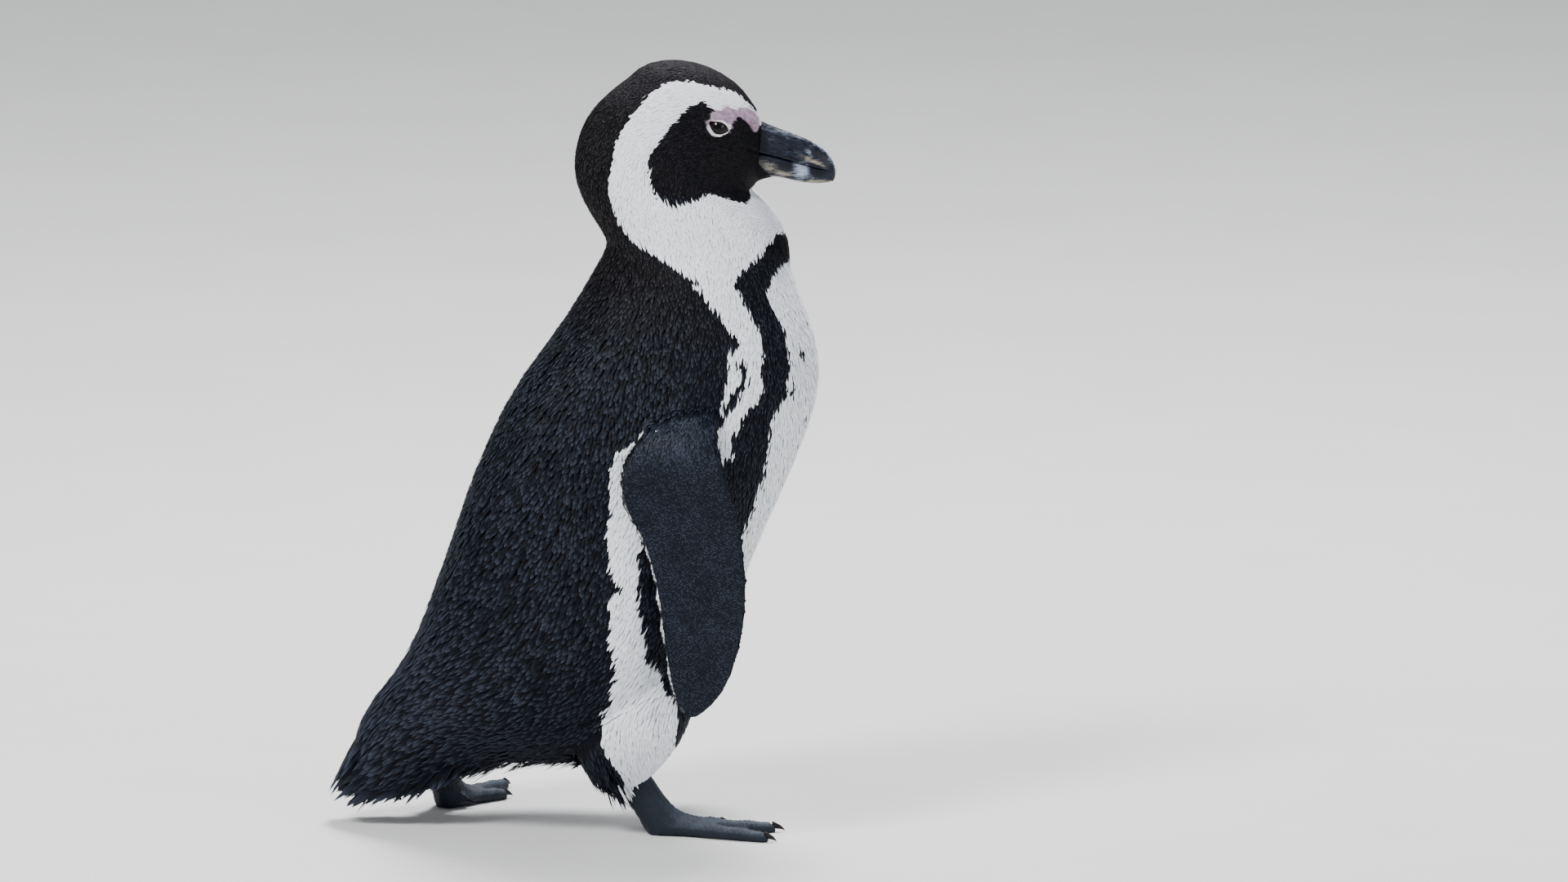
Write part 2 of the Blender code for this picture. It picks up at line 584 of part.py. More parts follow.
def make_foot(side, sign, foot):
    """Shank, toes and webs as one piece, with four claws set 0.3 mm off the toes."""
    place_point = foot_frame(foot, sign)
    whole = mesh_object("foot_" + side, loft(shank_rings(place_point)), "foot_skin")
    for name, toe in TOES.items():
        part = mesh_object("toe_" + name + "_" + side, loft(toe_rings(toe, place_point)), "foot_skin")
        boolean(whole, helper(part), "UNION")
        (u0, v0), (u1, v1), (u2, v2) = toe
        ahead = (Vector((u2, v2)) - Vector((u1, v1))).normalized()
        base = place_point(u1 + ahead.x * CLAW_GAP, v1 + ahead.y * CLAW_GAP, CLAW_HEIGHT[0])
        point = place_point(u2, v2, CLAW_HEIGHT[1])
        mesh_object("claw_" + name + "_" + side,
                    loft(claw_rings(base, point, CLAW_RADIUS, CLAW_ARCH)), "claw")
    for name, first, second in (("inner", "inner", "middle"), ("outer", "middle", "outer")):
        web = mesh_object("web_" + name + "_" + side, web_plate(TOES[first], TOES[second], place_point),
                          "foot_skin")
        boolean(whole, helper(web), "UNION")
    start, end, tip = [place_point(*point) for point in HIND_TOE]
    toe_end = end + (end - start) * 0.3
    toe = mesh_object("toe_hind_" + side, loft(claw_rings(start, toe_end, HIND_TOE_RADIUS, 0.4)),
                      "foot_skin")
    boolean(whole, helper(toe), "UNION")
    ahead = (tip - end).normalized()
    room_rings = claw_rings(end - ahead * CUT, tip, HIND_CLAW_RADIUS + CUT, HIND_CLAW_ARCH)
    room = mesh_object("claw_room_" + side, loft(room_rings), "foot_skin")
    boolean(whole, helper(room), "DIFFERENCE")
    claw = claw_rings(end, tip, HIND_CLAW_RADIUS, HIND_CLAW_ARCH)
    mesh_object("claw_hind_" + side, loft(claw), "claw")


def main():
    clear_scene()
    make_head()
    make_neck()
    make_trunk()
    make_tail()
    room = trunk_room()
    make_flippers(room)
    make_legs([room, tail_room()])
    make_bill()
    make_eyes()
    make_foot("left", 1, LEFT_FOOT)
    make_foot("right", -1, RIGHT_FOOT)


main()
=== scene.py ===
# African penguin, life size, standing in mid-step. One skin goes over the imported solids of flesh, and
# thin feather vanes are laid over it in overlapping rows from the bill to the tail. Bill, eyes and
# claws are pieces of their own.
# Points are in millimetres in the bird's own frame: x towards the bill, y = 0 its middle plane, z up.
import math

import bmesh
import bpy
import numpy as np
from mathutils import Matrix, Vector
from mathutils.bvhtree import BVHTree
from mathutils.kdtree import KDTree


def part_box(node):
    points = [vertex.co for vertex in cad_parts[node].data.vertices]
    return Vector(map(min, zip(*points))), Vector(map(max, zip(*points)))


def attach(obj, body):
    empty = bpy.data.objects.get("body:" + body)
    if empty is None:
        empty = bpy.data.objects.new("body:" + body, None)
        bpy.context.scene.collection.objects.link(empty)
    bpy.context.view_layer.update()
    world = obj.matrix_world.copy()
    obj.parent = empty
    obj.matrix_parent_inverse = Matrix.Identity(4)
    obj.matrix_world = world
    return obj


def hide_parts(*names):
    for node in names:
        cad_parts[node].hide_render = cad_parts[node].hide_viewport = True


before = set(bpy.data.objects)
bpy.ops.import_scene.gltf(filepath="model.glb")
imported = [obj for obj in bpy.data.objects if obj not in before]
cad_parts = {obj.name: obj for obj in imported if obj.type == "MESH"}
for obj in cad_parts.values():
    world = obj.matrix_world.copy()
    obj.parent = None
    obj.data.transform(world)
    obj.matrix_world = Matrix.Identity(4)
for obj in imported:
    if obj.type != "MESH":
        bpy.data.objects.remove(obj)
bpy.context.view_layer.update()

MM = 0.001
BILL_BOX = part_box("bill_upper")
MIDDLE = (BILL_BOX[0].y + BILL_BOX[1].y) / 2        # the bird's middle plane, in the row frame
SIDES = ("left", "right")                           # left is +y
SIGNS = (1.0, -1.0)                                 # of y, on these sides
FLESH = ["head", "neck", "trunk", "tail"]
FLESH += [part + "_" + side for part in ("flipper", "leg", "foot") for side in SIDES]


# ---- places and outlines ------------------------------------------------------------------------

def in_bird(points):
    """Points of the row frame, in metres, as millimetres in the bird's frame."""
    return (np.asarray(points, float) - (0.0, MIDDLE, 0.0)) / MM


def in_row(points):
    return np.asarray(points, float) * MM + (0.0, MIDDLE, 0.0)


def unit(vectors):
    return vectors / np.maximum(np.linalg.norm(vectors, axis=-1, keepdims=True), 1e-9)


def ease(low, high, value):
    """0 below low, 1 above high, with a smooth turn between."""
    t = np.clip((value - low) / (high - low), 0.0, 1.0)
    return t * t * (3.0 - 2.0 * t)


def mix(a, b, share):
    return a + (b - a) * share


def upright(way):
    """A way on the side view, across and up, as a vector."""
    return np.stack((way[:, 0], np.zeros(len(way)), way[:, 1]), 1)


def looks_out(points, normals):
    """How far each face looks away from the middle plane, -1 to 1."""
    return normals[:, 1] * np.sign(points[:, 1])


def curve(points, steps, closed=False):
    """A smooth line through the points: a Catmull-Rom spline."""
    p = np.asarray(points, float)
    if closed:
        p = np.vstack((p[-1], p, p[0], p[1]))
    else:
        p = np.vstack((2 * p[0] - p[1], p, 2 * p[-1] - p[-2]))
    t = np.linspace(0.0, 1.0, steps, endpoint=False)[:, None]
    spans = []
    for a, b, c, d in zip(p, p[1:], p[2:], p[3:]):
        spans.append(0.5 * (2 * b + (c - a) * t + (2 * a - 5 * b + 4 * c - d) * t ** 2
                            + (3 * b - 3 * c + d - a) * t ** 3))
    if not closed:
        spans.append(p[-2][None])
    return np.vstack(spans)


def away(u, v, line):
    """Distance of each (u, v) from a line of points."""
    best = np.full(len(u), 1e9)
    for (au, av), (bu, bv) in zip(line, line[1:]):
        du, dv = bu - au, bv - av
        t = np.clip(((u - au) * du + (v - av) * dv) / max(du * du + dv * dv, 1e-9), 0.0, 1.0)
        best = np.minimum(best, (u - au - t * du) ** 2 + (v - av - t * dv) ** 2)
    return np.sqrt(best)


def within(u, v, outline):
    """How far each (u, v) lies inside a closed outline; less than 0 is outside it."""
    inside = np.zeros(len(u), bool)
    ring = list(outline) + [outline[0]]
    for (au, av), (bu, bv) in zip(ring, ring[1:]):
        if av != bv:
            crosses = ((av > v) != (bv > v)) & (u < (bu - au) * (v - av) / (bv - av) + au)
            inside ^= crosses
    return np.where(inside, 1.0, -1.0) * away(u, v, ring)


# ---- markings -----------------------------------------------------------------------------------
# Drawn on a side view from a little above, the same for both sides: across = x, up = z less the part
# of |y| that the slope hides.

ELEVATION = 10.0                # degrees that the side view looks down
VIEW_SLOPE = math.tan(math.radians(ELEVATION))
BACK = [        # black crown, nape, back and tail
    (113, 468), (107, 474), (100, 480), (92, 483), (85, 483.5), (72, 486.5), (64, 487.5), (54, 486),
    (50, 483), (43, 478), (40, 474), (36, 469), (32, 464), (28, 457), (24, 450), (21, 443), (19, 430),
    (17.5, 415), (20, 404), (24, 393), (32, 382), (37, 377.5), (43, 374), (50, 370), (57, 366),
    (66, 359), (78, 354), (72, 352), (78, 345), (85, 335), (90, 331.5), (95, 321), (99, 317), (104, 314),
    (100, 309), (96, 305), (93, 300), (95, 290), (93, 283), (90, 270), (88, 260), (66, 254), (50, 257),
    (39, 254), (31, 247), (22, 242), (20, 235), (18, 226), (19, 218), (18, 208), (19, 200), (15, 190),
    (17, 180), (18, 160), (28, 152), (19, 149), (18, 140), (17, 132), (19, 125), (18, 115), (21, 100),
    (20, 90), (17, 80), (14, 70), (12, 52), (15, 45), (20, 38), (28, 27), (28, -20), (-260, -20),
    (-260, 560), (128, 560), (128, 470),
]
FACE = [        # black disc from the bill to behind the eye, with the chin
    (78, 474), (70, 470), (66, 466), (58, 457), (54, 451), (50, 446), (46, 441), (42, 434), (44, 427),
    (45, 419), (49, 410), (54, 406.5), (60, 404.5), (72, 406.5), (79, 409.5), (83, 412), (94, 410),
    (103, 407.5), (107, 407.5), (109.5, 410), (109, 416), (113, 419), (134, 420), (134, 452),
    (116, 457.5), (113.6, 453.6), (111.5, 453.5), (110, 457), (108, 459.5), (105, 462), (102.5, 464.5),
    (100, 461.8), (98.9, 460.5), (97.5, 456), (95.5, 452.5), (91, 450.2), (88, 449.8), (85, 451), (82, 454),
    (80.4, 458), (80.2, 461), (83, 463), (84, 466), (83.5, 468.5), (81, 472),
]
BAND = [        # black band from the upper breast down the flank to the leg
    (126, 386), (121, 377), (116, 371), (110, 366), (105, 362), (99, 352), (103, 345), (106, 338),
    (111, 331), (115, 322), (118, 307), (116, 297), (118, 290), (117, 282), (113, 275), (108, 268),
    (101, 257), (96, 248), (100, 241), (92, 236), (93, 230), (80, 214), (58, 199), (40, 185), (36, 170),
    (38, 163), (37, 155), (37, 130), (42, 112), (41, 105), (50, 98), (53, 90), (56, 82), (60, 77),
    (63, 66), (60, 50), (66, 44), (78, 58), (77, 75), (74, 95), (78, 118), (86, 145), (97, 170),
    (107, 193), (112, 208), (118, 225), (121, 240), (122, 255), (126, 268), (133, 280), (132, 286),
    (137, 299), (133, 312), (133, 320), (130, 327), (126, 333), (122, 340), (120, 347), (124, 357),
    (127, 362), (131, 366), (137, 369), (142, 376), (140, 390),
]
STRIPE = [(103, 299), (106, 294), (105, 287), (101, 280), (96, 273), (92, 267), (87, 257)]
STRIPE_WIDTH = 5.0
SPOTS = [       # from the front: y, z, size of the few black spots of the breast
    (-46, 338, 1.9), (-30, 312, 1.7), (-12, 330, 1.5), (-40, 290, 1.6), (-52, 262, 1.4), (-22, 268, 1.5),
    (18, 322, 1.7), (34, 300, 1.6), (8, 284, 1.4), (44, 272, 1.6), (27, 246, 1.4), (-44, 226, 1.3),
    (-8, 240, 1.3), (38, 214, 1.3), (30, 340, 1.4),
]
PINK = [        # bare skin over the eye, down to the bill
    (83.5, 461.5), (84.5, 468.5), (91, 470.3), (98, 471.3), (106, 471), (111.5, 468), (115, 463.5),
    (115.6, 458), (113.6, 453.4), (111.6, 453.4), (110, 457.2), (108, 459.7), (105, 462.2), (102.5, 464.5),
    (100, 461.8), (98.6, 460), (97.2, 455.6), (94, 452.2), (89, 450.2), (84.5, 451.6), (81.8, 455.4),
    (80.6, 460.5),
]
PINK_SEAM = 1.6                 # the face's black reaches this much further where it meets the bare skin
SPOTS_FROM = 60.0               # x of the breast, where the spots are
SPOT_SQUASH = 0.7               # spots are longer than they are wide
LEGS_APART = 27.0               # the belly is white this far to each side between the legs,
LEGS_TOP, LEGS_REAR = 110.0, 20.0           # below this height and in front of this x,
LEGS_LEAN = (70.0, 0.35)                    # which moves forward by this part of the way down from here
LEFT_STEP = 100.0               # the left leg stands this much further back, and takes the marks along,
LEFT_RISE = (50.0, 165.0)       # less and less over these heights,
LEFT_SIDE = (4.0, 24.0)         # and more and more over this y
VENT = (20.0, -46.0, 62.0)      # the white underside before the tail: half width, rear end, top
FLIPPER_FRONT = [(88, 290), (90.5, 256), (98, 229), (104, 203), (107, 164), (105, 144), (101, 124), (95, 107),
                 (87, 96), (74, 84)]
FLIPPER_REAR = [(50, 290), (28, 253), (25, 235), (30, 217), (38.5, 202.5), (49, 163), (54.5, 123), (61, 95.5),
                (69, 84)]
OUTER_FACE = -0.15              # faces of a flipper that look further outwards than this are its outer side
LINING_FRONT = 11.0             # its inner side is dark this far in from the front edge,
LINING_TIP, LINING_ROOT = 98.0, 262.0       # below this height and above this one,
ARMPIT = (236.0, 8.0)           # and from this height up, this far in from the rear edge


def on_side(points):
    x, y, z = points.T
    shift = LEFT_STEP * (1.0 - ease(*LEFT_RISE, z)) * ease(*LEFT_SIDE, y)
    return x + shift, z - VIEW_SLOPE * np.abs(y)


def black_mark(points):
    """How far each point lies inside the black markings, in millimetres."""
    u, v = on_side(points)
    black = np.maximum(within(u, v, BACK), within(u, v, BAND))
    black = np.maximum(black, within(u, v, FACE) + PINK_SEAM * (within(u, v, PINK) > -PINK_SEAM))
    black = np.maximum(black, STRIPE_WIDTH / 2 - away(u, v, STRIPE))
    x, y, z = points.T
    lean_from, lean = LEGS_LEAN
    between_legs = (z < LEGS_TOP) & (x > LEGS_REAR + lean * (lean_from - z).clip(0.0))
    apart = LEGS_APART + 0.3 * (LEGS_TOP - z)
    black = np.where(between_legs, np.minimum(black, (np.abs(y) - apart) * 0.6), black)
    for spot_y, spot_z, size in SPOTS:
        spot = size - np.hypot(y - spot_y, (z - spot_z) * SPOT_SQUASH)
        black = np.maximum(black, np.where(x > SPOTS_FROM, spot, -9.0))
    return black


def ink_at(points, normals, wing=False):
    """More than 0 where the feathers are black, in millimetres from the edge of the mark."""
    black = black_mark(points)
    x, y, z = points.T
    half_width, rear, top = VENT
    under = (np.abs(y) < half_width) & (normals[:, 2] < -0.5) & (x > rear)
    black = np.where(under & (z < top), -2.0, black)
    from_front, from_rear = away(x, z, FLIPPER_FRONT), away(x, z, FLIPPER_REAR)
    lining = np.maximum(LINING_FRONT - from_front, LINING_TIP - z)
    lining = np.maximum(lining, 2.0 * np.sin(x * 0.31) * np.sin(z * 0.23) - 0.9)        # loose freckles
    lining = np.maximum(lining, np.minimum(z - ARMPIT[0], ARMPIT[1] - from_rear))
    lining = np.maximum(lining, z - LINING_ROOT)
    return np.where(wing, np.where(looks_out(points, normals) > OUTER_FACE, 3.0, lining), black)


def bare_mark(points):
    u, v = on_side(points)
    return within(u, v, PINK)


# ---- the lie of the coat ------------------------------------------------------------------------
# The line that the feathers follow inside the body, from the bill to the tip of the tail, and what
# they are like there. Feather numbers: distance apart, length, width, depth of the coat.

SPINE = [
    # x, z,       black feathers of the back,   white ones and the breast and belly
    (124, 443,    (0.70, 2.6, 0.80, 0.25),      (0.70, 2.6, 0.80, 0.25)),
    (108, 445,    (0.76, 3.2, 0.90, 0.35),      (0.76, 3.2, 0.90, 0.35)),
    (92, 449,     (0.86, 3.9, 1.00, 0.50),      (0.82, 3.7, 0.95, 0.45)),
    (74, 452,     (0.96, 4.6, 1.10, 0.70),      (0.90, 4.4, 1.05, 0.55)),
    (58, 448,     (1.04, 5.4, 1.25, 0.90),      (0.96, 5.0, 1.10, 0.65)),
    (49, 434,     (1.14, 6.0, 1.35, 1.10),      (1.02, 5.4, 1.15, 0.75)),
    (52, 412,     (1.34, 7.0, 1.60, 1.40),      (1.12, 6.4, 1.25, 0.90)),
    (64, 388,     (1.56, 8.1, 1.93, 1.80),      (1.22, 7.4, 1.35, 1.05)),
    (70, 360,     (1.64, 8.5, 2.08, 2.20),      (1.32, 8.4, 1.45, 1.20)),
    (66, 320,     (1.84, 9.8, 2.40, 2.50),      (1.38, 9.2, 1.50, 1.30)),
    (56, 275,     (1.94, 10.6, 2.56, 2.70),     (1.42, 9.6, 1.55, 1.40)),
    (45, 230,     (1.98, 11.0, 2.64, 2.80),     (1.46, 9.8, 1.60, 1.50)),
    (30, 185,     (2.02, 11.5, 2.68, 2.90),     (1.50, 10.2, 1.65, 1.60)),
    (10, 140,     (2.05, 12.3, 2.68, 2.90),     (1.56, 10.6, 1.70, 1.70)),
    (-20, 105,    (2.08, 13.6, 2.72, 2.90),     (1.75, 12.0, 1.90, 2.00)),
    (-60, 78,     (2.28, 16.7, 2.92, 2.90),     (2.10, 14.0, 2.30, 2.60)),
    (-100, 58,    (2.32, 20.5, 2.92, 2.80),     (2.50, 18.0, 2.80, 3.40)),
    (-127, 40,    (2.32, 25.1, 2.84, 2.60),     (2.70, 23.0, 3.10, 4.20)),
    (-158, 17,    (2.32, 27.9, 2.75, 2.20),     (2.80, 27.0, 3.10, 4.40)),
]
SPINE_STEPS = 5
SPINE_LINE = curve([row[:2] for row in SPINE], SPINE_STEPS)
SPINE_COAT = np.array([row[2] + row[3] for row in SPINE], float)
SPINE_COAT = np.array([np.interp(np.linspace(0, len(SPINE) - 1, len(SPINE_LINE)),
                                 np.arange(len(SPINE)), column) for column in SPINE_COAT.T]).T
SPINE_WAY = unit(np.gradient(SPINE_LINE, axis=0))
SPINE_RUN = np.concatenate(([0.0], np.cumsum(np.linalg.norm(np.diff(SPINE_LINE, axis=0), axis=1))))
SPINE_REACH = 12.0              # how far along the line neighbouring stretches blend
TAIL_END = SPINE_RUN[-1]
TIPS_FREE = (TAIL_END - 40.0, TAIL_END - 14.0)          # over this run the tail's feathers leave the skin
WHITE_TO = TAIL_END - 120.0     # from here on all feathers are the black kind
FRONT_BLEND = (-12.0, 26.0)     # offset from the line, from the back's feathers to the belly's
WHITE_BLEND = (-3.0, 8.0)       # distance inside the black, from white feathers to black ones
FRINGE_TOP = (42.0, 64.0)       # the belly's ragged lower edge fades out over these heights
FRINGE_REAR, FRINGE_FRONT = (-104.0, -88.0), (26.0, 40.0)       # and over these x
FRINGE_WAY = (-0.55, 0.0, -0.85)
FRINGE_DROOP = 0.8              # how freely the fringe's black tufts hang, 0 to 1


def along_spine(points):
    """For each point: the coat's numbers, the way it lies (x, z), the run along the line and the
    offset from it, towards the belly."""
    u, v = points[:, 0:1], points[:, 2:3]
    gap = (u - SPINE_LINE[:, 0]) ** 2 + (v - SPINE_LINE[:, 1]) ** 2
    pull = 1.0 / (gap + SPINE_REACH ** 2) ** 4
    pull /= pull.sum(1, keepdims=True)
    way = unit(pull @ SPINE_WAY)
    middle = pull @ SPINE_LINE
    offset = (points[:, 0] - middle[:, 0]) * -way[:, 1] + (points[:, 2] - middle[:, 1]) * way[:, 0]
    return pull @ SPINE_COAT, way, pull @ SPINE_RUN, offset


def fringe_of(points):
    """1 along the ragged lower edge of the coat, under the rear of the belly."""
    x, z = points[:, 0], points[:, 2]
    return (1.0 - ease(*FRINGE_TOP, z)) * ease(*FRINGE_REAR, x) * (1.0 - ease(*FRINGE_FRONT, x))


def free_of_skin(points):
    """0 where feathers lie on the skin, more where their tips stand out: the tail and the fringe."""
    return np.maximum(ease(*TIPS_FREE, along_spine(points)[2]), 0.9 * fringe_of(points))


def body_way(points):
    """The way that the body's feathers lie."""
    _, way, _, _ = along_spine(points)
    return unit(mix(upright(way), np.array(FRINGE_WAY), 0.75 * fringe_of(points)[:, None]))


def coat_numbers(points):
    """Distance apart, length, width and depth of the feathers at each point."""
    numbers, _, run, offset = along_spine(points)
    front = ease(*FRONT_BLEND, offset)
    white = (1.0 - ease(*WHITE_BLEND, black_mark(points))) * (run < WHITE_TO)
    return mix(numbers[:, :4], numbers[:, 4:], np.maximum(front, white)[:, None])


FLIPPER_COAT = (1.12, 3.6, 1.60, 0.46)
LEG_COAT = (1.35, 9.0, 1.6, 1.7)
LIMB_WAY = {                    # the way the feathers lie on limbs
    "flipper_left": (0.10, 0.06, -1.0), "flipper_right": (0.10, -0.06, -1.0),
    "leg_left": (-0.62, 0.05, -1.0), "leg_right": (0.18, 0.0, -1.0),
}
SHOULDER = (240.0, 284.0)       # heights between which the flipper's feathers change to the body's
THIGH_TOP = {"leg_left": 72.0, "leg_right": 104.0}
THIGH_BLEND = 45.0              # and below that top the thigh's do, over this height
THIGH_EDGE = {"leg_right": (24.7, 31.0), "leg_left": (-105.2, 28.5)}    # its rear end: x, z
THIGH_SLOPE = 0.48
THIGH_OVER = 2.5                # how far the thigh's feathers reach over that edge
THIGH_TUFT = 5.5                # how much further its rear black feathers hang over the shank
TUFT_FADE = (3.0, 13.0)         # where they shorten again, forward of the rear end
SHANK_SKIN = 3.0                # the scaly skin goes on this far under the thigh's feathers


def limb_share(points, part):
    """0 on the body, 1 well down a limb, with a gradual change at the shoulder and thigh."""
    z = points[:, 2]
    if part.startswith("flipper"):
        return 1.0 - ease(*SHOULDER, z)
    return 1.0 - ease(THIGH_TOP[part] - THIGH_BLEND, THIGH_TOP[part], z)


def thigh_room(points, limb):
    """How far each point of a thigh lies above the edge where the scaly shank comes out."""
    x, z = THIGH_EDGE[limb]
    return points[:, 2] - z - THIGH_SLOPE * (points[:, 0] - x)


def limb_numbers(part):
    """The coat's numbers on a limb, as a function of the points."""
    own = np.array(FLIPPER_COAT if part.startswith("flipper") else LEG_COAT)

    def numbers(points):
        return mix(coat_numbers(points), own, limb_share(points, part)[:, None])
    return numbers


def limb_way(part):
    own = unit(np.array(LIMB_WAY[part]))

    def way(points):
        return unit(mix(body_way(points), own, limb_share(points, part)[:, None]))
    return way


# ---- meshes -------------------------------------------------------------------------------------

def smooth(mesh):
    mesh.polygons.foreach_set("use_smooth", np.ones(len(mesh.polygons), bool))


def build_mesh(name, points, corners, sizes):
    """A mesh from points in the bird's frame, the faces' corners one after another, and their sizes."""
    mesh = bpy.data.meshes.new(name)
    mesh.vertices.add(len(points))
    mesh.vertices.foreach_set("co", in_row(points).astype(np.float32).ravel())
    mesh.loops.add(len(corners))
    mesh.loops.foreach_set("vertex_index", np.asarray(corners, np.int32))
    mesh.polygons.add(len(sizes))
    starts = np.concatenate(([0], np.cumsum(sizes)[:-1]))
    mesh.polygons.foreach_set("loop_start", starts.astype(np.int32))
    smooth(mesh)
    mesh.update(calc_edges=True)
    mesh.validate()
    return mesh


def place(name, mesh, material, slot, nodes=()):
    """Adds the mesh as a piece of the bird that stands for these nodes."""
    piece = bpy.data.objects.new(name, mesh)
    bpy.context.scene.collection.objects.link(piece)
    mesh.materials.clear()
    mesh.materials.append(material)
    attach(piece, "root")
    if nodes:
        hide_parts(*nodes)
    return piece


def paint(mesh, name, values):
    """Stores one number for each point, for the material to read."""
    layer = mesh.attributes.new(name, "FLOAT", "POINT")
    layer.data.foreach_set("value", np.asarray(values, np.float32))


def read(items, attribute, width, kind=np.float32):
    """One attribute of all the items of a mesh, a row for each."""
    values = np.empty(len(items) * width, kind)
    items.foreach_get(attribute, values)
    return values.reshape(-1, width)


def points_of(mesh):
    return in_bird(read(mesh.vertices, "co", 3))


def normals_of(mesh):
    return read(mesh.vertices, "normal", 3).astype(float)


def edges_of(mesh):
    return read(mesh.edges, "vertices", 2, np.int32)


def move_points(mesh, points):
    mesh.vertices.foreach_set("co", in_row(points).astype(np.float32).ravel())
    mesh.update()


def soften(values, edges, times):
    """Moves each value half-way to the mean of its neighbours, over and over."""
    values = np.array(values, float)
    flat = values.reshape(len(values), -1)
    a, b = edges.T
    count = np.bincount(a, minlength=len(flat)) + np.bincount(b, minlength=len(flat))
    for _ in range(times):
        for column in range(flat.shape[1]):
            one = flat[:, column]
            total = np.bincount(a, one[b], len(one)) + np.bincount(b, one[a], len(one))
            flat[:, column] = mix(one, total / np.maximum(count, 1), 0.5)
    return flat.reshape(values.shape)


def with_modifier(mesh, kind, **settings):
    """The mesh after one modifier."""
    carrier = bpy.data.objects.new("carrier", mesh)
    bpy.context.scene.collection.objects.link(carrier)
    modifier = carrier.modifiers.new("one", kind)
    for key, value in settings.items():
        setattr(modifier, key, value)
    graph = bpy.context.evaluated_depsgraph_get()
    made = bpy.data.meshes.new_from_object(carrier.evaluated_get(graph))
    bpy.data.objects.remove(carrier)
    return made


def remeshed(mesh, voxel):
    """The mesh's outer surface, made anew of faces of this size in millimetres."""
    return with_modifier(mesh, "REMESH", mode="VOXEL", voxel_size=voxel * MM)


def mesh_of(made):
    """What was made with bmesh, as a mesh."""
    mesh = bpy.data.meshes.new("made")
    made.to_mesh(mesh)
    made.free()
    return mesh


def welded(nodes, grow=0.0):
    """One mesh of copies of these nodes, each swollen by grow millimetres."""
    joined = bmesh.new()
    for name in nodes:
        single = bmesh.new()
        single.from_mesh(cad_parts[name].data)
        bmesh.ops.remove_doubles(single, verts=single.verts, dist=1e-6)
        single.normal_update()
        for vert in single.verts:
            vert.co += vert.normal * grow * MM
        lone = mesh_of(single)
        joined.from_mesh(lone)
        bpy.data.meshes.remove(lone)
    return mesh_of(joined)


def nearest_node(points):
    """Name of the node of flesh that each point is closest to."""
    owner, corners, polygons = [], [], []
    for name in FLESH:
        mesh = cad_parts[name].data
        start = len(corners)
        corners += [v.co.copy() for v in mesh.vertices]
        polygons += [[start + i for i in p.vertices] for p in mesh.polygons]
        owner += [name] * len(mesh.polygons)
    tree = BVHTree.FromPolygons(corners, polygons)
    found = [tree.find_nearest(Vector(p))[2] for p in in_row(points)]
    return np.array(owner)[found]


# ---- skin ---------------------------------------------------------------------------------------

SKIN_VOXEL = 0.9                # mm
SKIN_TRIANGLES = 150000
JOIN = 0.45                     # swelling that closes the cuts between the solids
DEPTH_STEPS = 4
BARE_DEPTH = 0.1                # the bare skin by the eye lies almost on the outline
BILL_SEAM = (109.0, 113.0)      # over this x the skin comes out to the bill's base,
CHEEK = 415.0                   # above this height
TAIL_PULL = 12.0                # the skin ends this far inside the tips of the tail feathers,
PULL_OVER = 50.0                # drawn in over this run before the tail's end
TOES_TOP = 24.0                 # a foot's toes lie below this height
SCALES = (0.16, 2.0, 0.6)       # rows of scales over the toes: relief, and how close along x and y
GAPE = {                        # where the feathers end on the bill: a point on the side view and degrees
    "bill_upper": ((115.8, 455.0), 4.0), "bill_lower": ((118.6, 431.0), -42.0),
}
CREASES = [     # folds of the skin on the head's side view: line, half width, depth
    ([(97, 442.6), (102, 444.2), (108, 443.2), (114, 441.0)], 0.9, 0.7),
    ([(84.5, 466.0), (88.5, 466.8), (93, 465.4), (96.5, 461.6)], 0.6, 0.3),
    ([(91, 445.5), (92.2, 441.5), (91.8, 437.5)], 1.0, 0.35),
]


def coat_depth(points, names):
    depth = coat_numbers(points)[:, 3]
    for limb in LIMB_WAY:
        chosen = names == limb
        depth[chosen] = limb_numbers(limb)(points[chosen])[:, 3]
    depth[np.char.startswith(names, "foot")] = 0.0
    return np.where(bare_mark(points) > -1.0, BARE_DEPTH, depth)


def collar(node):
    """The base of the bill, which the skin and its feathers cover as far as the gape line."""
    made = bmesh.new()
    made.from_mesh(welded([node], JOIN))
    (x, z), degrees = GAPE[node]
    lean = math.radians(degrees)
    cut = bmesh.ops.bisect_plane(made, geom=made.verts[:] + made.edges[:] + made.faces[:],
                                 plane_co=in_row((x, 0.0, z)), clear_outer=True,
                                 plane_no=(math.cos(lean), 0.0, -math.sin(lean)))
    bmesh.ops.holes_fill(made, edges=[e for e in cut["geom_cut"] if isinstance(e, bmesh.types.BMEdge)])
    return mesh_of(made)


def fine_folds(points, names):
    """Depth of the creases of the head's skin and of the scales on the toes."""
    u, v = on_side(points)
    crease = np.zeros(len(points))
    for line, half_width, deep in CREASES:
        crease = np.maximum(crease, deep * np.exp(-(away(u, v, line) / half_width) ** 2))
    height, along, across = SCALES
    scale = height * np.sin(points[:, 0] * along + across * points[:, 1]) * ease(3.0, 9.0, points[:, 2])
    toes = np.char.startswith(names, "foot") & (points[:, 2] < TOES_TOP)
    return crease * (names == "head"), scale * toes


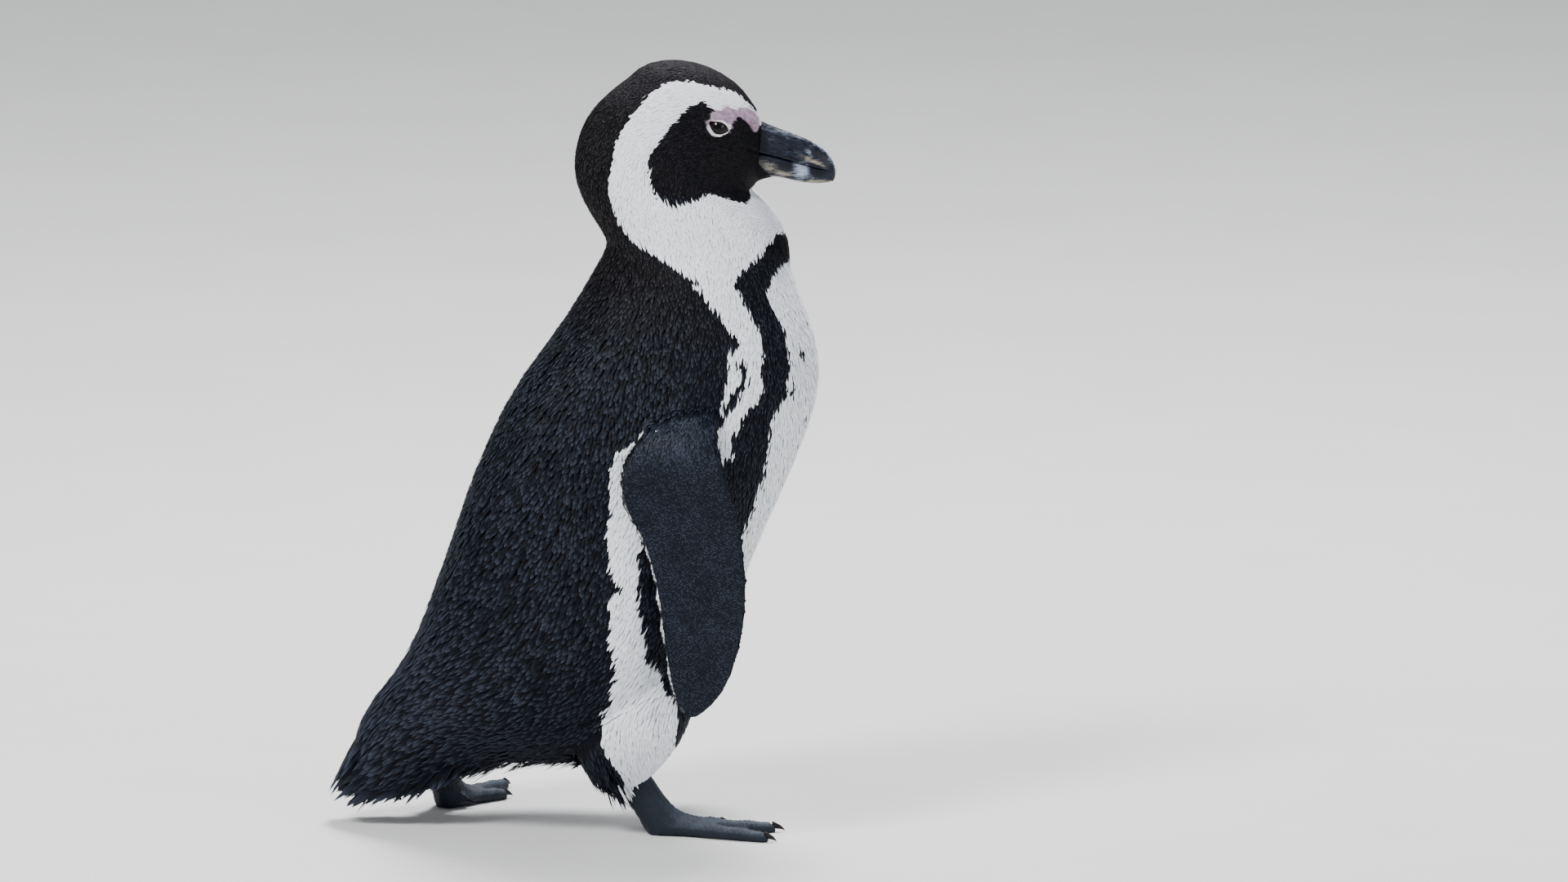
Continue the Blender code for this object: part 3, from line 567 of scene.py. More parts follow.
def make_skin_mesh():
    """One skin over the solids of flesh, sunk by the depth of the coat."""
    solids = bmesh.new()
    solids.from_mesh(welded(FLESH, JOIN))
    for node in GAPE:
        solids.from_mesh(collar(node))
    mesh = remeshed(mesh_of(solids), SKIN_VOXEL)
    points, edges = points_of(mesh), edges_of(mesh)
    names = nearest_node(points)
    loose = ease(0.0, 1.0, soften(np.isin(names, ["neck", "trunk"]).astype(float), edges, 12))
    points = mix(soften(points, edges, 3), soften(points, edges, 14), loose[:, None])
    depth = soften(coat_depth(points, names), edges, 10) + JOIN * 0.9
    depth = depth * (1.0 - ease(*BILL_SEAM, points[:, 0]) * (points[:, 2] > CHEEK))
    _, way, run, _ = along_spine(points)
    pull = np.where(names == "tail", TAIL_PULL * ease(TAIL_END - PULL_OVER, TAIL_END, run), 0.0)
    points = points - upright(way) * pull[:, None]
    crease, scales = fine_folds(points, names)
    depth = depth + crease + scales
    for _ in range(DEPTH_STEPS):
        move_points(mesh, points)
        points = points - normals_of(mesh) * (depth / DEPTH_STEPS)[:, None]
        points = mix(points, soften(points, edges, 2), loose[:, None])
    move_points(mesh, points)
    ratio = SKIN_TRIANGLES / (2.0 * len(mesh.polygons))
    return with_modifier(mesh, "DECIMATE", ratio=ratio)


# ---- eyes and lids ------------------------------------------------------------------------------

EYE_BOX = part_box("eye_left")
EYE = in_bird((EYE_BOX[0] + EYE_BOX[1]) / 2)         # middle of the left eye
EYE_HALF = (7.3, 6.9, 7.1)      # half sizes of the ball: along the head, outward, up
SOCKET_HALF = (10.2, 7.8)       # the solids' hollow for the lids, along the head and up
OPENING = [     # edge of the lids, from the eye's middle along the head and up
    (-6.3, 3.8), (-3.2, 4.35), (0.8, 4.3), (4.0, 2.7), (5.9, 0.2), (6.3, -1.9), (4.4, -3.2), (1.0, -4.1),
    (-2.2, -3.5), (-4.3, -1.3), (-5.7, 1.4),
]
RING = [        # outer edge of the pale ring of skin on the lids
    (-8.9, 4.9), (-4.0, 6.0), (1.6, 6.0), (5.9, 4.5), (8.4, 1.6), (8.2, -1.6), (5.8, -4.5), (1.6, -6.0),
    (-3.3, -5.5), (-6.6, -2.3), (-8.5, 1.6),
]
LID_POINTS = 88                 # points round the eye
MARGIN_STEPS, RING_STEPS, OUTER_STEPS = 3, 6, 6
LID_EDGE = 0.35                 # thickness of the lids where they open
LID_SWELL, LID_WRINKLE = 0.55, 0.07
LID_REST = 0.62                 # height of the ring's outer edge, from the ball's to the skin's
RIM_REACH = 1.2                 # where the lids end on the skin, in half sizes of the socket
SOCKET_TAKEN = 0.72             # the skin is taken away as far as this,
SOCKET_SINK = 0.9               # and sinks this far under the lids
SINK_FADE = (0.98, 1.17)        # until here
EYE_RINGS, EYE_TURNS = 40, 64
EYE_ARC = 0.72                  # part of half a turn, from the front, that the ball is made over
CORNEA, CORNEA_EDGE = 0.35, 0.75            # how far it stands out, and the angle of its edge in radians


def ball_height(along, up):
    """How far out of its middle the eyeball's surface lies, near enough for the lids."""
    inside = 1.0 - (along / EYE_HALF[0]) ** 2 - (up / EYE_HALF[1]) ** 2
    return EYE_HALF[1] * np.sqrt(np.maximum(inside, 0.0))


def around(outline, count):
    """A closed outline as count points evenly spaced along its length."""
    line = curve(outline, 12, closed=True)
    line = np.vstack((line, line[:1]))
    run = np.concatenate(([0.0], np.cumsum(np.linalg.norm(np.diff(line, axis=0), axis=1))))
    at = np.linspace(0.0, run[-1], count, endpoint=False)
    return np.stack([np.interp(at, run, line[:, k]) for k in (0, 1)], 1)


def socket_rim(skin_tree, sign, opening):
    """Where the lids end all round: places about the eye's middle, and the skin's height there."""
    angle = np.arctan2(opening[:, 1], opening[:, 0])
    rim = np.stack((np.cos(angle) * SOCKET_HALF[0], np.sin(angle) * SOCKET_HALF[1]), 1) * RIM_REACH
    outside = np.stack((EYE[0] + rim[:, 0], np.full(len(rim), sign * 60.0), EYE[2] + rim[:, 1]), 1)
    inward = Vector((0, -sign, 0))
    height = np.array([abs(skin_tree.ray_cast(Vector(p), inward)[0].y) for p in outside])
    return rim, height - EYE[1] + 0.08


def lid_rows(skin_tree, sign):
    """Rows of points of one eye's lids, from behind their edge out to the rim of the socket, and how
    pale each point is."""
    opening, ring = around(OPENING, LID_POINTS), around(RING, LID_POINTS)
    rim, rim_height = socket_rim(skin_tree, sign, opening)
    edge_height = ball_height(*opening.T)
    ring_height = mix(edge_height, rim_height, LID_REST)
    upper = ease(0.5, 2.5, opening[:, 1])
    wrinkle = LID_WRINKLE * np.sin(np.arange(LID_POINTS) * 2.1)
    rows, pale = [], []
    for t in np.linspace(1.0, 0.0, MARGIN_STEPS, endpoint=False):       # behind the edge
        rows.append((opening * (1 + 0.09 * t), edge_height - 0.9 * t + 0.25))
        pale.append(np.full(LID_POINTS, 0.6))
    for t in np.linspace(0.0, 1.0, RING_STEPS, endpoint=False):
        height = mix(edge_height + LID_EDGE, ring_height + 0.1, ease(0.0, 1.0, t))
        swell = (LID_SWELL + wrinkle) * math.sin(math.pi * min(t + 0.12, 1.0)) ** 0.8
        rows.append((mix(opening, ring, t), height + swell))
        pale.append(1.0 - ease(0.30, 0.62, t) * upper)
    for t in np.linspace(0.0, 1.0, OUTER_STEPS):
        rows.append((mix(ring, rim, t), mix(ring_height - 0.25, rim_height, ease(0.0, 1.0, t))))
        pale.append(0.9 * (t == 0.0) * (1.0 - upper))
    points = [np.stack((EYE[0] + flat[:, 0], sign * (EYE[1] + height), EYE[2] + flat[:, 1]), 1)
              for flat, height in rows]
    return np.stack(points), np.concatenate(pale)


def add_lids(mesh):
    """The skin with its socket faces taken out and the lids of both eyes set in."""
    points = points_of(mesh)
    tree = BVHTree.FromPolygons([Vector(p) for p in points], [p.vertices[:] for p in mesh.polygons])
    made = bmesh.new()
    made.from_mesh(mesh)
    made.verts.ensure_lookup_table()
    reach = np.hypot((points[:, 0] - EYE[0]) / SOCKET_HALF[0], (points[:, 2] - EYE[2]) / SOCKET_HALF[1])
    outer = np.abs(points[:, 1]) > EYE[1] - 3.0
    for i in np.flatnonzero((reach < RIM_REACH) & outer):
        sink = MM * SOCKET_SINK * (1.0 - ease(*SINK_FADE, reach[i]))
        made.verts[i].co.y -= math.copysign(sink, points[i, 1])
    taken = np.flatnonzero((reach < SOCKET_TAKEN) & outer)
    bmesh.ops.delete(made, geom=[made.verts[i] for i in taken], context="VERTS")
    pale_layer = made.verts.layers.float.new("lid")
    for sign in SIGNS:
        rows, pale = lid_rows(tree, sign)
        count = rows.shape[1]
        verts = [made.verts.new(p) for p in in_row(rows.reshape(-1, 3))]
        for vert, value in zip(verts, pale):
            vert[pale_layer] = value
        for r in range(len(rows) - 1):
            for k in range(count):
                a, b = r * count + k, r * count + (k + 1) % count
                face = [verts[a], verts[b], verts[b + count], verts[a + count]]
                made.faces.new(face[::-1] if sign > 0 else face)
    made.to_mesh(mesh)
    made.free()
    return mesh


def add_eyes():
    """Each ball turned about the line of sight, with a raised clear-coated cornea."""
    material = eye_material()
    for side, sign in zip(SIDES, SIGNS):
        points, from_axis = [], []
        for r in range(EYE_RINGS + 1):
            polar = math.pi * EYE_ARC * r / EYE_RINGS
            out = EYE_HALF[1] * math.cos(polar) + CORNEA * (1.0 - ease(0.0, CORNEA_EDGE, polar))
            for k in range(EYE_TURNS):
                a = 2 * math.pi * k / EYE_TURNS
                points.append((EYE[0] + EYE_HALF[0] * math.sin(polar) * math.cos(a), sign * (EYE[1] + out),
                               EYE[2] + EYE_HALF[2] * math.sin(polar) * math.sin(a)))
                from_axis.append(math.degrees(polar))
        corners = []
        for r in range(EYE_RINGS):
            for k in range(EYE_TURNS):
                a, b = r * EYE_TURNS + k, r * EYE_TURNS + (k + 1) % EYE_TURNS
                quad = [a, a + EYE_TURNS, b + EYE_TURNS, b]
                corners += quad if sign < 0 else quad[::-1]
        mesh = build_mesh("eye_" + side, np.array(points), corners, np.full(EYE_RINGS * EYE_TURNS, 4))
        paint(mesh, "from_axis", from_axis)
        place("eyeball_" + side, mesh, material, "eye", ["eye_" + side])


# ---- bill and claws -----------------------------------------------------------------------------

HORN_VOXEL = 0.36
HORN_GROW = 0.22                # swelling that makes up for the softened edges
RIDGE_HIGHLIGHT = (1.7, 0.6)              # painted highlight beside a groove, where its sides would catch the light: distance and width, in its half widths
DEEP = 0.5                      # a deeper groove is the nostril, which has no painted highlight beside it
GROOVES = [     # line on the side view, half width, depth
    ([(115, 457.6), (119, 456.2), (128, 453.2), (137.1, 449.6), (144, 445.8), (149, 443.4)], 0.75, 0.26),
    ([(116.5, 455.0), (121.2, 451.0), (127, 447.4), (132.4, 444.2)], 0.70, 0.24),
    ([(115.5, 451.6), (122, 447.6), (130, 443.0), (139, 438.6), (145, 436.0)], 0.65, 0.18),
    ([(134.0, 443.6), (137.0, 442.2)], 0.75, 0.70),
    ([(116, 434.0), (122, 431.4), (130, 429.2), (139, 426.6)], 0.60, 0.16),
    ([(118, 437.0), (125, 434.6), (133, 432.8)], 0.55, 0.12),
]
HORN_PATCHES = {    # tints of the horn: across, up, half length, half height, degrees, strength
    "cream": [(151.0, 434.2, 8.0, 1.6, -24, 0.62), (146.5, 437.0, 3.6, 2.2, -10, 0.36),
              (121.5, 431.0, 8.5, 3.6, -24, 0.54), (129.0, 427.0, 9.0, 1.6, -14, 0.60),
              (152.0, 421.4, 13.0, 1.3, 0, 0.75)],
    # the grey patches along the culmen, at (130.0, 453.8), (152.0, 447.0) and (161.0, 438.0), are painted
    # sheen; the others are the horn's own grey
    "grey_and_sheen": [(142.8, 428.4, 6.4, 5.0, -62, 0.74), (147.5, 439.8, 4.4, 1.8, -40, 0.34),
             (130.0, 453.8, 17.0, 1.7, -17, 0.34), (152.0, 447.0, 12.0, 2.0, -34, 0.38),
             (161.0, 438.0, 8.0, 1.4, -66, 0.30), (122.0, 449.0, 8.0, 2.2, -38, 0.18)],
    # The dark patches at the gape line, at (120.0, 439.4) and (136.0, 436.6), and at the nostril, at (135.8,
    # 442.8), are painted shade of the slit between the mandibles and of the nostril; the other dark patches
    # are the horn's own.
    "dark": [(131.8, 432.6, 5.8, 4.4, -15, 0.95), (153.6, 440.4, 4.6, 1.7, -44, 1.0),
             (157.2, 436.0, 3.0, 1.6, -60, 0.70), (152.6, 428.0, 6.6, 3.4, -14, 0.95),
             (127.0, 446.8, 9.0, 2.4, -24, 0.45), (140.0, 449.4, 6.0, 1.3, -24, 0.50),
             (120.0, 439.4, 8.0, 1.8, -14, 0.75), (136.0, 436.6, 8.0, 1.4, -16, 0.70),
             (115.5, 446.0, 6.5, 11.0, 0, 1.1), (135.8, 442.8, 2.4, 1.1, -25, 1.4)],
    "ruddy": [(163.4, 424.4, 1.6, 3.0, 0, 0.45)],
}
LOWER_REACH = 2.4               # the lower tip is brought this much nearer to the hook
LOWER_TIP = (150.0, 161.0)      # more and more over this x


def patch_of(u, v, middle_u, middle_v, long, high, degrees, strength):
    """A soft oval patch on the side view."""
    c, s = math.cos(math.radians(degrees)), math.sin(math.radians(degrees))
    du, dv = u - middle_u, v - middle_v
    reach = np.hypot((du * c + dv * s) / long, (dv * c - du * s) / high)
    return strength * np.exp(-reach ** 2 * 0.9)


def add_horn(name, nodes, material, slot):
    """A fine copy of a horn solid, with its plates' grooves and the nostril cut in."""
    mesh = remeshed(welded(nodes, HORN_GROW), HORN_VOXEL)
    points, edges = points_of(mesh), edges_of(mesh)
    points = soften(points, edges, 6)
    if nodes == ["bill_lower"]:
        points[:, 0] += LOWER_REACH * ease(*LOWER_TIP, points[:, 0])
    move_points(mesh, points)
    u, v = on_side(points)
    cut, ridge_highlight = np.zeros(len(points)), np.zeros(len(points))
    for line, half_width, depth in GROOVES:
        off = away(u, v, line) / half_width
        cut = np.maximum(cut, depth * np.exp(-off ** 2))
        ridge_highlight = np.maximum(ridge_highlight, np.exp(-((off - RIDGE_HIGHLIGHT[0]) / RIDGE_HIGHLIGHT[1]) ** 2) * (depth < DEEP))
    sideways = np.abs(normals_of(mesh)[:, 1])
    points = points - normals_of(mesh) * (cut * ease(0.15, 0.6, sideways))[:, None]
    move_points(mesh, points)
    # each groove's depth, which the material also darkens as painted shade in the grooves and the nostril
    paint(mesh, "groove", np.clip(cut / DEEP, 0, 1))
    # painted highlight beside the grooves, kept off the grooves themselves
    paint(mesh, "ridge_highlight", ridge_highlight * (cut < 0.2))
    for tint, patches in HORN_PATCHES.items():
        paint(mesh, tint, np.max([patch_of(u, v, *patch) for patch in patches], axis=0))
    smooth(mesh)
    return place(name, mesh, material, slot, nodes)


CLAW_VOXEL = 0.4
CLAW_ROOT = 3.0                 # the root of a claw is carried this far back into its toe
CLAW_BASE = 0.15                # part of a claw's points that count as its base


def add_claws():
    material = claw_material()
    for node in sorted(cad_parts):
        if node.startswith("claw"):
            mesh = remeshed(welded([node]), CLAW_VOXEL)
            points, edges = points_of(mesh), edges_of(mesh)
            points = soften(points, edges, 4)
            foot = points_of(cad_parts["foot_" + node.rsplit("_", 1)[1]].data)
            far = np.linalg.norm(points - foot[foot[:, 2] > TOES_TOP].mean(0), axis=1)
            base = points[far < np.quantile(far, CLAW_BASE)].mean(0)
            back = unit(base - points[np.argmax(far)])
            reach = (points - base) @ -back
            points = points + back * (CLAW_ROOT * (1.0 - ease(0.0, CLAW_ROOT, reach)))[:, None]
            move_points(mesh, points)
            smooth(mesh)
            root = in_bird(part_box(node)[1])[2]
            paint(mesh, "tip", 1.0 - ease(0.0, root, points[:, 2]))
            place("horn_" + node, mesh, material, "claw", [node])


# ---- feathers -----------------------------------------------------------------------------------
# A vane's outline: (part of its length, part of its width, part of its height over the skin)

SCALE_VANE = [(0.0, 0.30, 0.0), (0.28, 0.72, 0.40), (0.55, 1.0, 0.72), (0.80, 0.92, 0.94), (0.94, 0.50, 1.0)]
POINTED_VANE = [(0.0, 0.45, 0.0), (0.25, 0.85, 0.35), (0.50, 1.0, 0.66), (0.74, 0.80, 0.88),
                (0.90, 0.42, 0.98)]
SOFT_VANE = [(0.0, 0.40, 0.0), (0.45, 1.0, 0.62), (0.80, 0.80, 0.95)]
FINE_VANE = [(0.0, 0.55, 0.0), (0.50, 1.0, 0.72), (0.82, 0.78, 1.0)]
VANE_HOLLOW = 0.14              # how far a vane's sides fall below its shaft, part of its width
VANE_YAW, STIFF_YAW = 5.0, 1.0  # degrees that vanes turn aside
STRAY_YAW = 9.0                 # and how much more those of the fringe do
STRAY_LENGTH = 0.65             # how much longer these may be
TRIES = 7                       # places tried for each feather
SPACING = 0.86                  # least distance of two feathers, part of the coat's number for it


class Coat:
    """The skin as the feathers see it."""

    def __init__(self, mesh):
        mesh.calc_loop_triangles()
        self.tri = read(mesh.loop_triangles, "vertices", 3, np.int32)
        self.points = points_of(mesh)
        self.normals = normals_of(mesh)
        a, b, c = (self.points[self.tri[:, k]] for k in range(3))
        self.centre = (a + b + c) / 3
        self.area = np.linalg.norm(np.cross(b - a, c - a), axis=1) / 2
        self.part = nearest_node(self.centre)
        self.tree = BVHTree.FromPolygons([Vector(p) for p in self.points], self.tri.tolist())

    def scatter(self, chosen, numbers_of, axis, stretch, rng):
        """Roots spread evenly over the chosen triangles; rows along axis are stretch times further
        apart than the feathers in a row."""
        area = self.area * chosen
        pitch = numbers_of(self.centre)[:, 0]
        want = area / pitch ** 2
        count = int(want.sum() * TRIES)
        pick = rng.choice(len(area), count, p=want / want.sum())
        r1, r2 = np.sqrt(rng.random(count))[:, None], rng.random(count)[:, None]
        a, b, c = (self.tri[pick, k] for k in range(3))
        shares = [(1 - r1, a), (r1 * (1 - r2), b), (r1 * r2, c)]
        roots = sum(w * self.points[k] for w, k in shares)
        normals = unit(sum(w * self.normals[k] for w, k in shares))
        axis = unit(np.array(axis, float))
        flat = roots - np.outer(roots @ axis, axis) * (1 - 1 / stretch)
        pitch = pitch[pick]
        tree = KDTree(count)
        for i, p in enumerate(flat):
            tree.insert(p, i)
        tree.balance()
        free = np.ones(count, bool)
        kept = []
        for i in range(count):
            if free[i]:
                kept.append(i)
                for _, j, _ in tree.find_range(flat[i], pitch[i] * SPACING):
                    free[j] = False
        return roots[kept], normals[kept]

    def normal_of_faces(self):
        return unit(self.normals[self.tri].sum(1))

    def settle(self, points):
        """Nearest places on the skin, with their normals."""
        place, normal = np.empty_like(points), np.empty_like(points)
        for i, p in enumerate(points):
            found, n, _, _ = self.tree.find_nearest(p)
            place[i], normal[i] = found, n
        return place, normal


def lay_vanes(coat, roots, normals, way_of, numbers, outline, columns, rng, stiff=False):
    """Vanes from the roots, each following the skin as it goes, or straight if they are stiff. Gives
    points (vanes, points, 3)."""
    count = len(roots)
    length, width, depth = numbers[:, 1], numbers[:, 2], numbers[:, 3]
    cling = 0.0 if stiff else 1.0
    loose = fringe_of(roots) * cling
    length = length * rng.normal(1.0, 0.08, count).clip(0.8, 1.25)
    length = length * (1.0 + STRAY_LENGTH * loose * rng.random(count))
    width = width * rng.normal(1.0, 0.07, count).clip(0.8, 1.25)
    rise = depth * rng.normal(1.0, 0.10, count).clip(0.75, 1.2)
    yaw = (STIFF_YAW if stiff else VANE_YAW) + STRAY_YAW * loose
    turn = np.radians(rng.normal(0.0, 1.0, count) * yaw)[:, None]
    clump = 0.5 + 0.5 * np.sin(roots[:, 0] * 0.62 + 0.25 * roots[:, 1]) * np.sin(roots[:, 0] * 0.23 + 1.0)
    dark = ink_at(roots, normals) > 0.0
    droop = (FRINGE_DROOP * loose * clump * dark * rng.random(count))[:, None]
    place, normal, way = roots.copy(), normals.copy(), None
    rows, last = [], 0.0
    for t, w, h in outline + [(1.0, 0.0, 1.0)]:
        goal = way_of(place)
        if not stiff:
            outward = (goal * normal).sum(1, keepdims=True)
            goal = unit(goal - normal * outward * (1.0 - droop * (outward > 0.0)))
        goal = goal * np.cos(turn) + np.cross(normal, goal) * np.sin(turn)
        way = goal if way is None else unit(mix(way, goal, cling))
        if t > last:
            step = way * ((t - last) * length)[:, None]
            settled, found = coat.settle(place + step)
            hold = (cling * (1.0 - free_of_skin(place)))[:, None]
            place = mix(place + step, settled, hold)
            normal = unit(mix(normal, found, 0.6 * hold))
        last = t
        side = unit(np.cross(normal, way))
        middle = place + normal * (rise * h + 0.05)[:, None]
        if t < 1.0:
            for c in np.linspace(-0.5, 0.5, columns):
                fall = normal * (width * w * VANE_HOLLOW * 4 * c * c)[:, None]
                rows.append(middle + side * (width * w * c)[:, None] - fall)
        else:
            rows.append(middle)
    return np.stack(rows, 1)


def vane_faces(rows, columns):
    """Corners and sizes of one vane's faces."""
    corners, sizes = [], []
    for r in range(rows - 1):
        for c in range(columns - 1):
            a = r * columns + c
            corners += [a, a + columns, a + columns + 1, a + 1]
            sizes.append(4)
    tip = rows * columns
    for c in range(columns - 1):
        a = tip - columns + c
        corners += [a, tip, a + 1]
        sizes.append(3)
    return np.array(corners), np.array(sizes)


PATCH = 0.003                   # a vane's patch on the unwrapped skin
CHART_EDGE = 0.01               # the chart keeps this far from the edges of the map


def coat_piece(name, vanes, outline, columns, ink, tone, warm, chart, material, slot):
    """Joins the vanes into one piece, with their colours and their patches of the unwrapped skin."""
    count, each = vanes.shape[:2]
    one_corners, one_sizes = vane_faces(len(outline), columns)
    corners = (one_corners[None] + (np.arange(count) * each)[:, None]).ravel()
    mesh = build_mesh(name, vanes.reshape(-1, 3), corners, np.tile(one_sizes, count))
    t = np.array([row[0] for row in outline for _ in range(columns)] + [1.0])
    c = np.array([k for _ in outline for k in np.linspace(-0.5, 0.5, columns)] + [0.0])
    for label, values in (("ink", ink), ("tone", tone), ("warm", warm)):
        paint(mesh, label, np.repeat(values, each))
    for label, values in (("along", t), ("across", c)):
        paint(mesh, label, np.tile(values, count))
    low, high = chart.min(0), chart.max(0)
    centre = CHART_EDGE + (1.0 - 2 * CHART_EDGE) * (chart - low) / np.maximum(high - low, 1e-6)
    spot = centre[:, None, :] + (np.stack((c, t - 0.5), 1) * PATCH)[None]
    spot = spot.reshape(-1, 2)[corners]
    mesh.uv_layers.new(name="OFBake").data.foreach_set("uv", spot.astype(np.float32).ravel())
    return place(name, mesh, material, slot)


def body_chart(points):
    """The body's skin unrolled: angle round the spine and run along it."""
    _, _, run, offset = along_spine(points)
    return np.stack((np.arctan2(points[:, 1], offset), run), 1)


def limb_chart(points, normals, limb):
    """A limb's skin unrolled: a leg by the way its skin faces, a flipper as its outer and inner faces
    side by side, and the height."""
    if limb.startswith("leg"):
        return np.stack((np.arctan2(normals[:, 1], normals[:, 0]), points[:, 2]), 1)
    x = points[:, 0] - points[:, 0].min()
    return np.stack((np.where(looks_out(points, normals) > 0, x, 2.05 * x.max() - x), points[:, 2]), 1)


# ---- materials ----------------------------------------------------------------------------------

class Nodes:
    """Short ways to add and join the nodes of a material or a group."""

    def __init__(self, tree):
        self.tree = tree

    def add(self, kind, **settings):
        node = self.tree.nodes.new(kind)
        for key, value in settings.items():
            setattr(node, key, value)
        return node

    def join(self, out, into):
        self.tree.links.new(out, into)

    def fill(self, socket, value):
        if hasattr(value, "is_output"):
            self.join(value, socket)
        else:
            socket.default_value = value

    def value(self, name):
        return self.add("ShaderNodeAttribute", attribute_name=name).outputs["Fac"]

    def math(self, operation, a, b=0.0, c=0.0):
        node = self.add("ShaderNodeMath", operation=operation)
        for socket, value in zip(node.inputs, (a, b, c)):
            self.fill(socket, value)
        return node.outputs[0]

    def blend(self, share, a, b):
        node = self.add("ShaderNodeMix", data_type="RGBA")
        self.fill(node.inputs["Factor"], share)
        self.fill(node.inputs["A"], a)
        self.fill(node.inputs["B"], b)
        return node.outputs["Result"]

    def span(self, value, low, high, to_low=0.0, to_high=1.0):
        node = self.add("ShaderNodeMapRange", interpolation_type="SMOOTHSTEP")
        for socket, v in zip(node.inputs, (value, low, high, to_low, to_high)):
            self.fill(socket, v)
        return node.outputs[0]

    def noise(self, scale, detail, roughness=0.5, at=None):
        node = self.add("ShaderNodeTexNoise")
        fill_in(node, Scale=scale, Detail=detail, Roughness=roughness)
        self.join(at or self.place(), node.inputs["Vector"])
        return node.outputs["Fac"]

    def cells(self, scale):
        """Distance to the edges of small cells."""
        node = self.add("ShaderNodeTexVoronoi", feature="DISTANCE_TO_EDGE")
        fill_in(node, Scale=scale)
        self.join(self.place(), node.inputs["Vector"])
        return node.outputs["Distance"]

    def place(self):
        return self.add("ShaderNodeTexCoord").outputs["Object"]


def rgb(r, g, b):
    return (r, g, b, 1.0)


def fill_in(node, **values):
    """Puts constants on the node's sockets; a socket's name has _ for each space."""
    for label, value in values.items():
        node.inputs[label.replace("_", " ")].default_value = value


def relief(n, shader, height, strength, distance=0.0002):
    """Fine relief on the surface, from a height."""
    bump = n.add("ShaderNodeBump")
    fill_in(bump, Strength=strength, Distance=distance)
    n.join(height, bump.inputs["Height"])
    n.join(bump.outputs["Normal"], shader.inputs["Normal"])


def new_material(name):
    material = bpy.data.materials.new(name)
    material.use_nodes = True
    nodes = Nodes(material.node_tree)
    return material, nodes, material.node_tree.nodes["Principled BSDF"]


def new_group(name, inputs, outputs):
    """A shader group with named sockets: (name, kind, default) inputs and (name, kind) outputs."""
    tree = bpy.data.node_groups.new(name, "ShaderNodeTree")
    for label, kind, default in inputs:
        socket = tree.interface.new_socket(label, in_out="INPUT", socket_type="NodeSocket" + kind)
        socket.default_value = default
    for label, kind in outputs:
        tree.interface.new_socket(label, in_out="OUTPUT", socket_type="NodeSocket" + kind)
    nodes = Nodes(tree)
    return tree, nodes, nodes.add("NodeGroupInput").outputs, nodes.add("NodeGroupOutput").inputs


def plumage_group():
    """Colour, roughness and height of a vane, black or white by its ink, browner where it is warm, with paler
    tips on the black that are partly the feathers' own edges and partly painted glints.
    """
    tree, n, given, put = new_group("plumage", [
        ("Black", "Color", rgb(0.005, 0.006, 0.010)), ("Black Tip", "Color", rgb(0.04, 0.045, 0.06)),
        ("Brown", "Color", rgb(0.0030, 0.0026, 0.0032)), ("Brown Tip", "Color", rgb(0.026, 0.024, 0.028)),
        ("White", "Color", rgb(0.8, 0.8, 0.8)), ("White Root", "Color", rgb(0.5, 0.5, 0.52)),
        ("Variation", "Float", 0.3), ("Barbs", "Float", 0.5),
    ], [("Color", "Color"), ("Roughness", "Float"), ("Height", "Float")])
    along, across = n.value("along"), n.value("across")
    ink, tone, warm = n.value("ink"), n.value("tone"), n.value("warm")
    aside = n.math("ABSOLUTE", across)
    # paler tips and edges of the black vanes: partly the feathers' own paler edges, partly painted glints
    rim = n.math("MAXIMUM", n.span(along, 0.60, 1.0), n.math("MULTIPLY", n.span(aside, 0.30, 0.5), 0.3))
    wear_and_glint = n.math("MULTIPLY", rim, n.span(n.math("ADD", tone, n.noise(70.0, 3.0)), 0.6, 1.4, 0.30, 1.0))
    black = n.blend(wear_and_glint, n.blend(warm, given["Black"], given["Brown"]),
                    n.blend(warm, given["Black Tip"], given["Brown Tip"]))
    white = n.blend(n.span(along, 0.15, 0.65), given["White Root"], given["White"])
    colour = n.blend(ink, white, black)
    patchy = n.math("SUBTRACT", n.noise(45.0, 3.0), 0.5)
    shade = n.math("ADD", n.math("SUBTRACT", tone, 0.5), patchy)
    much = n.math("MULTIPLY", given["Variation"], n.math("MULTIPLY_ADD", ink, 0.85, 0.15))
    shade = n.math("MULTIPLY_ADD", shade, much, 1.0)
    scaled = n.add("ShaderNodeVectorMath", operation="SCALE")
    n.join(colour, scaled.inputs[0])
    n.join(shade, scaled.inputs["Scale"])
    n.join(scaled.outputs[0], put["Color"])
    # barbs run out and forward from the shaft
    slant = n.math("ADD", along, n.math("MULTIPLY", aside, -0.35))
    barb = n.math("SINE", n.math("MULTIPLY", slant, 150.0))
    shaft = n.span(aside, 0.0, 0.06, 1.0, 0.0)
    n.join(n.math("MULTIPLY", n.math("MULTIPLY_ADD", barb, 0.3, shaft), given["Barbs"]), put["Height"])
    gloss = n.span(n.noise(300.0, 2.0), 0.3, 0.7, 0.36, 0.50)
    dull = n.math("MAXIMUM", warm, n.math("SUBTRACT", 1.0, ink))
    n.join(n.math("MULTIPLY_ADD", dull, 0.22, gloss), put["Roughness"])
    return tree


PLUMAGE = plumage_group()


def plumage(name, black, black_tip, white, white_root, variation, specular):
    material, n, shader = new_material(name)
    group = n.add("ShaderNodeGroup", node_tree=PLUMAGE)
    fill_in(group, Black=rgb(*black), Black_Tip=rgb(*black_tip), White=rgb(*white),
            White_Root=rgb(*white_root), Variation=variation, Barbs=0.4)
    n.join(group.outputs["Color"], shader.inputs["Base Color"])
    n.join(group.outputs["Roughness"], shader.inputs["Roughness"])
    relief(n, shader, group.outputs["Height"], 0.3)
    fill_in(shader, Specular_IOR_Level=specular)
    return material


